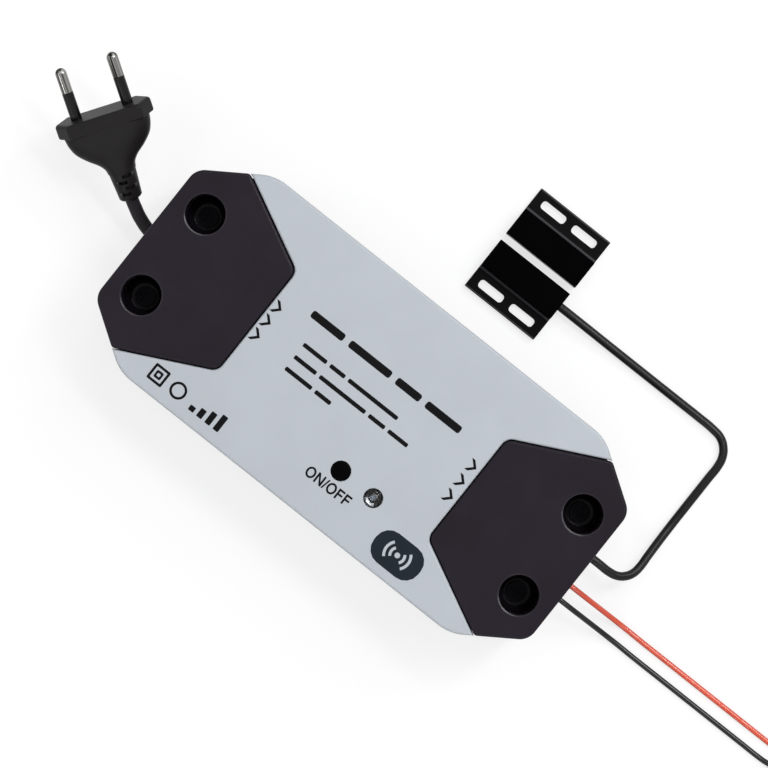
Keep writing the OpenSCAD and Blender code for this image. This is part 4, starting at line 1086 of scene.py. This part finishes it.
# Rows of dashes: place across the case, then starts and ends
BOLD_H, FINE_H = 2.8, 1.5
BOLD_ROW = (13.9, [(-33, -19), (-16.5, 1.5), (4, 14.5), (17, 32)])
FINE_ROWS = [
    (3.7, [(-28.7, -18.5), (-17, -10.5), (-9, 12.5)]),
    (-1.5, [(-28.5, -19), (-17.5, 2.5), (4, 11), (12.5, 21)]),
    (-6.5, [(-28.5, -17), (-15.5, -8.7)]),
]
# Arrow heads by each cap, a double square, a ring and a row of rising bars
ARROW_SIZE, ARROW_STROKE = 4.6, 1.3
ARROW_ROWS = ((-43.0, (-4, 2, 8)), (43.2, (-6, 0.5, 7)))
SIGN_Y = -35.5
SQUARE_X, SQUARES = -61, ((6.2, 0.9), (2.8, 0.8))
RING_X, RING_R, RING_STROKE = -52.4, 3.1, 0.9
BARS, BAR_X, BAR_PITCH, BAR_W = 4, -46, 3.6, 2.2
BAR_FOOT, BAR_H, BAR_RISE = -38.4, 2, 1.4


def rising_bar(k):
    x = BAR_X + k * BAR_PITCH
    return ink_bar(x, x + BAR_W, BAR_FOOT, BAR_FOOT + BAR_H + k * BAR_RISE)


def make_print():
    """All the marks on the cover: dashes, arrow heads, signs and the words of the switch."""
    marks = ink_line(*BOLD_ROW, BOLD_H)
    for row in FINE_ROWS:
        marks += ink_line(*row, FINE_H)
    for x, places in ARROW_ROWS:
        marks += [chevron(x, y, ARROW_SIZE, ARROW_STROKE) for y in places]
    marks += [frame_mark(SQUARE_X, SIGN_Y, size, stroke) for size, stroke in SQUARES]
    marks += [ring_mark(RING_X, SIGN_Y, RING_R, RING_R, RING_STROKE)]
    marks += [rising_bar(k) for k in range(BARS)]
    marks += switch_words()
    dress(gathered("cover_print", marks), PRINT_INK, "button_black")


make_print()
make_badge(*BADGE_AT)

# CAD pieces that stay: a finish from the colour of the slot in the record
STEEL_SLOTS = ("screw_steel", "shield_steel", "magnet_metal", "tip_tin")
GLASS_SLOTS = ("capsule_glass",)
SLOT_FINISHES = {"screw_black": SCREW_BLACK}
SCREEN_GAMMA = 2.2
NODE_EDGE = 0.15 * MM
# Pieces with edges too short to round
UNROUNDED = ("status_led",)


def slot_material(entry):
    """The finish of a slot, in its own colour and kind."""
    slot = entry["slot"]
    if slot in SLOT_FINISHES:
        return SLOT_FINISHES[slot]
    name = f"{slot}_finish"
    colour = tuple(c**SCREEN_GAMMA for c in entry["base_color"][:3]) + (1.0,)
    if slot in STEEL_SLOTS:
        return metal(name, colour, rough=0.34)
    if slot in GLASS_SLOTS:
        return clear(name, colour)
    return plastic(name, colour)


def dress_nodes():
    """Gives every CAD piece that still shows a finish, and most of them softened edges."""
    record = frame["record"]
    finishes = {entry["slot"]: slot_material(entry) for entry in record["materials"]}
    for part in record["subparts"]:
        obj = nodes[part["node"]]
        if obj.hide_render:
            continue
        obj.data.materials.clear()
        obj.data.materials.append(finishes[part["material_slot"]])
        if part["node"] not in UNROUNDED:
            bevel_edges(obj, NODE_EDGE, segments=2, angle=50)


dress_nodes()

# Stage, light and camera
AIM = Vector((0, 0, 20 * MM))


def seen_share(tree):
    """One for rays from the camera or from glossy or clear surfaces, otherwise zero."""
    path = tree.nodes.new("ShaderNodeLightPath").outputs
    share = path["Is Camera Ray"]
    for kind in ("Is Glossy Ray", "Is Transmission Ray"):
        either = add_node(tree, "ShaderNodeMath", {0: share, 1: path[kind]})
        either.operation = "MAXIMUM"
        share = either.outputs[0]
    return share


FLOOR_REACH, FLOOR_T, FLOOR_DROP = 3.0, 20 * MM, 0.05 * MM
FLOOR_GREY, FLOOR_ROUGH, FLOOR_GLOW = (0.34, 0.34, 0.34, 1.0), 0.9, 0.72
AMBIENT = 0.3


def make_floor():
    """A floor that keeps a soft shadow and shows white away from it."""
    low = (-FLOOR_REACH, -FLOOR_REACH, -FLOOR_T)
    floor = block("floor", low, (FLOOR_REACH, FLOOR_REACH, -FLOOR_DROP))
    material, tree, surface = shader("floor_white")
    glow = add_node(tree, "ShaderNodeMath", {0: seen_share(tree), 1: FLOOR_GLOW})
    glow.operation = "MULTIPLY"
    feed(tree, surface, {
        "Base Color": FLOOR_GREY,
        "Roughness": FLOOR_ROUGH,
        "Specular IOR Level": 0.0,
        "Emission Color": WHITE,
        "Emission Strength": glow.outputs[0],
    })
    floor.data.materials.append(material)


def make_world():
    """An even white surround, dimmer as a light than where it is seen or reflected."""
    world = bpy.data.worlds.new("studio")
    world.use_nodes = True
    tree = world.node_tree
    light = {"Value": seen_share(tree), "To Min": AMBIENT, "To Max": 1.0}
    level = add_node(tree, "ShaderNodeMapRange", light).outputs["Result"]
    feed(tree, tree.nodes["Background"], {"Color": WHITE, "Strength": level})
    bpy.context.scene.world = world


# Place and size of the lamps in metres, and their power in watts
LAMPS = {
    "key": ((0.1, 0.5, 1.25), (1.4, 0.1), 4.2),
    "cross_key": ((0.31, 0.85, 1.2), (0.22, 0.9), 5.0),
    "far_strip": ((0.15, 0.9, 0.7), (1.3, 0.06), 2.6),
    "near_strip": ((0.0, -0.9, 0.65), (1.3, 0.06), 1.9),
    "left_fill": ((-1.0, -0.5, 1.1), (0.8, 0.8), 2.4),
    "right_fill": ((0.9, -0.7, 1.1), (0.8, 0.8), 2.4),
}


def area_light(name, place, size, power):
    """A white lamp that points at the middle of the case."""
    lamp = bpy.data.lights.new(name, "AREA")
    lamp.shape = "RECTANGLE"
    lamp.size = size[0]
    lamp.size_y = size[1]
    lamp.energy = power
    obj = linked(name, lamp)
    obj.location = place
    obj.rotation_euler = (AIM - Vector(place)).to_track_quat("-Z", "Y").to_euler()


CAMERA_PLACE = (0.00144, 0.0102, 1.3)
CAMERA_TURN = math.radians(38.47)
CAMERA_LENS, CAMERA_SENSOR = 171.6, 36


def make_camera():
    """A long lens that looks straight down."""
    camera = bpy.data.cameras.new("camera")
    camera.sensor_width = CAMERA_SENSOR
    camera.lens = CAMERA_LENS
    obj = linked("camera", camera)
    obj.location = CAMERA_PLACE
    obj.rotation_euler = (0, 0, CAMERA_TURN)
    bpy.context.scene.camera = obj


make_floor()
make_world()
for lamp_name, lamp_values in LAMPS.items():
    area_light(lamp_name, *lamp_values)
make_camera()
bpy.context.scene.view_settings.view_transform = "Standard"
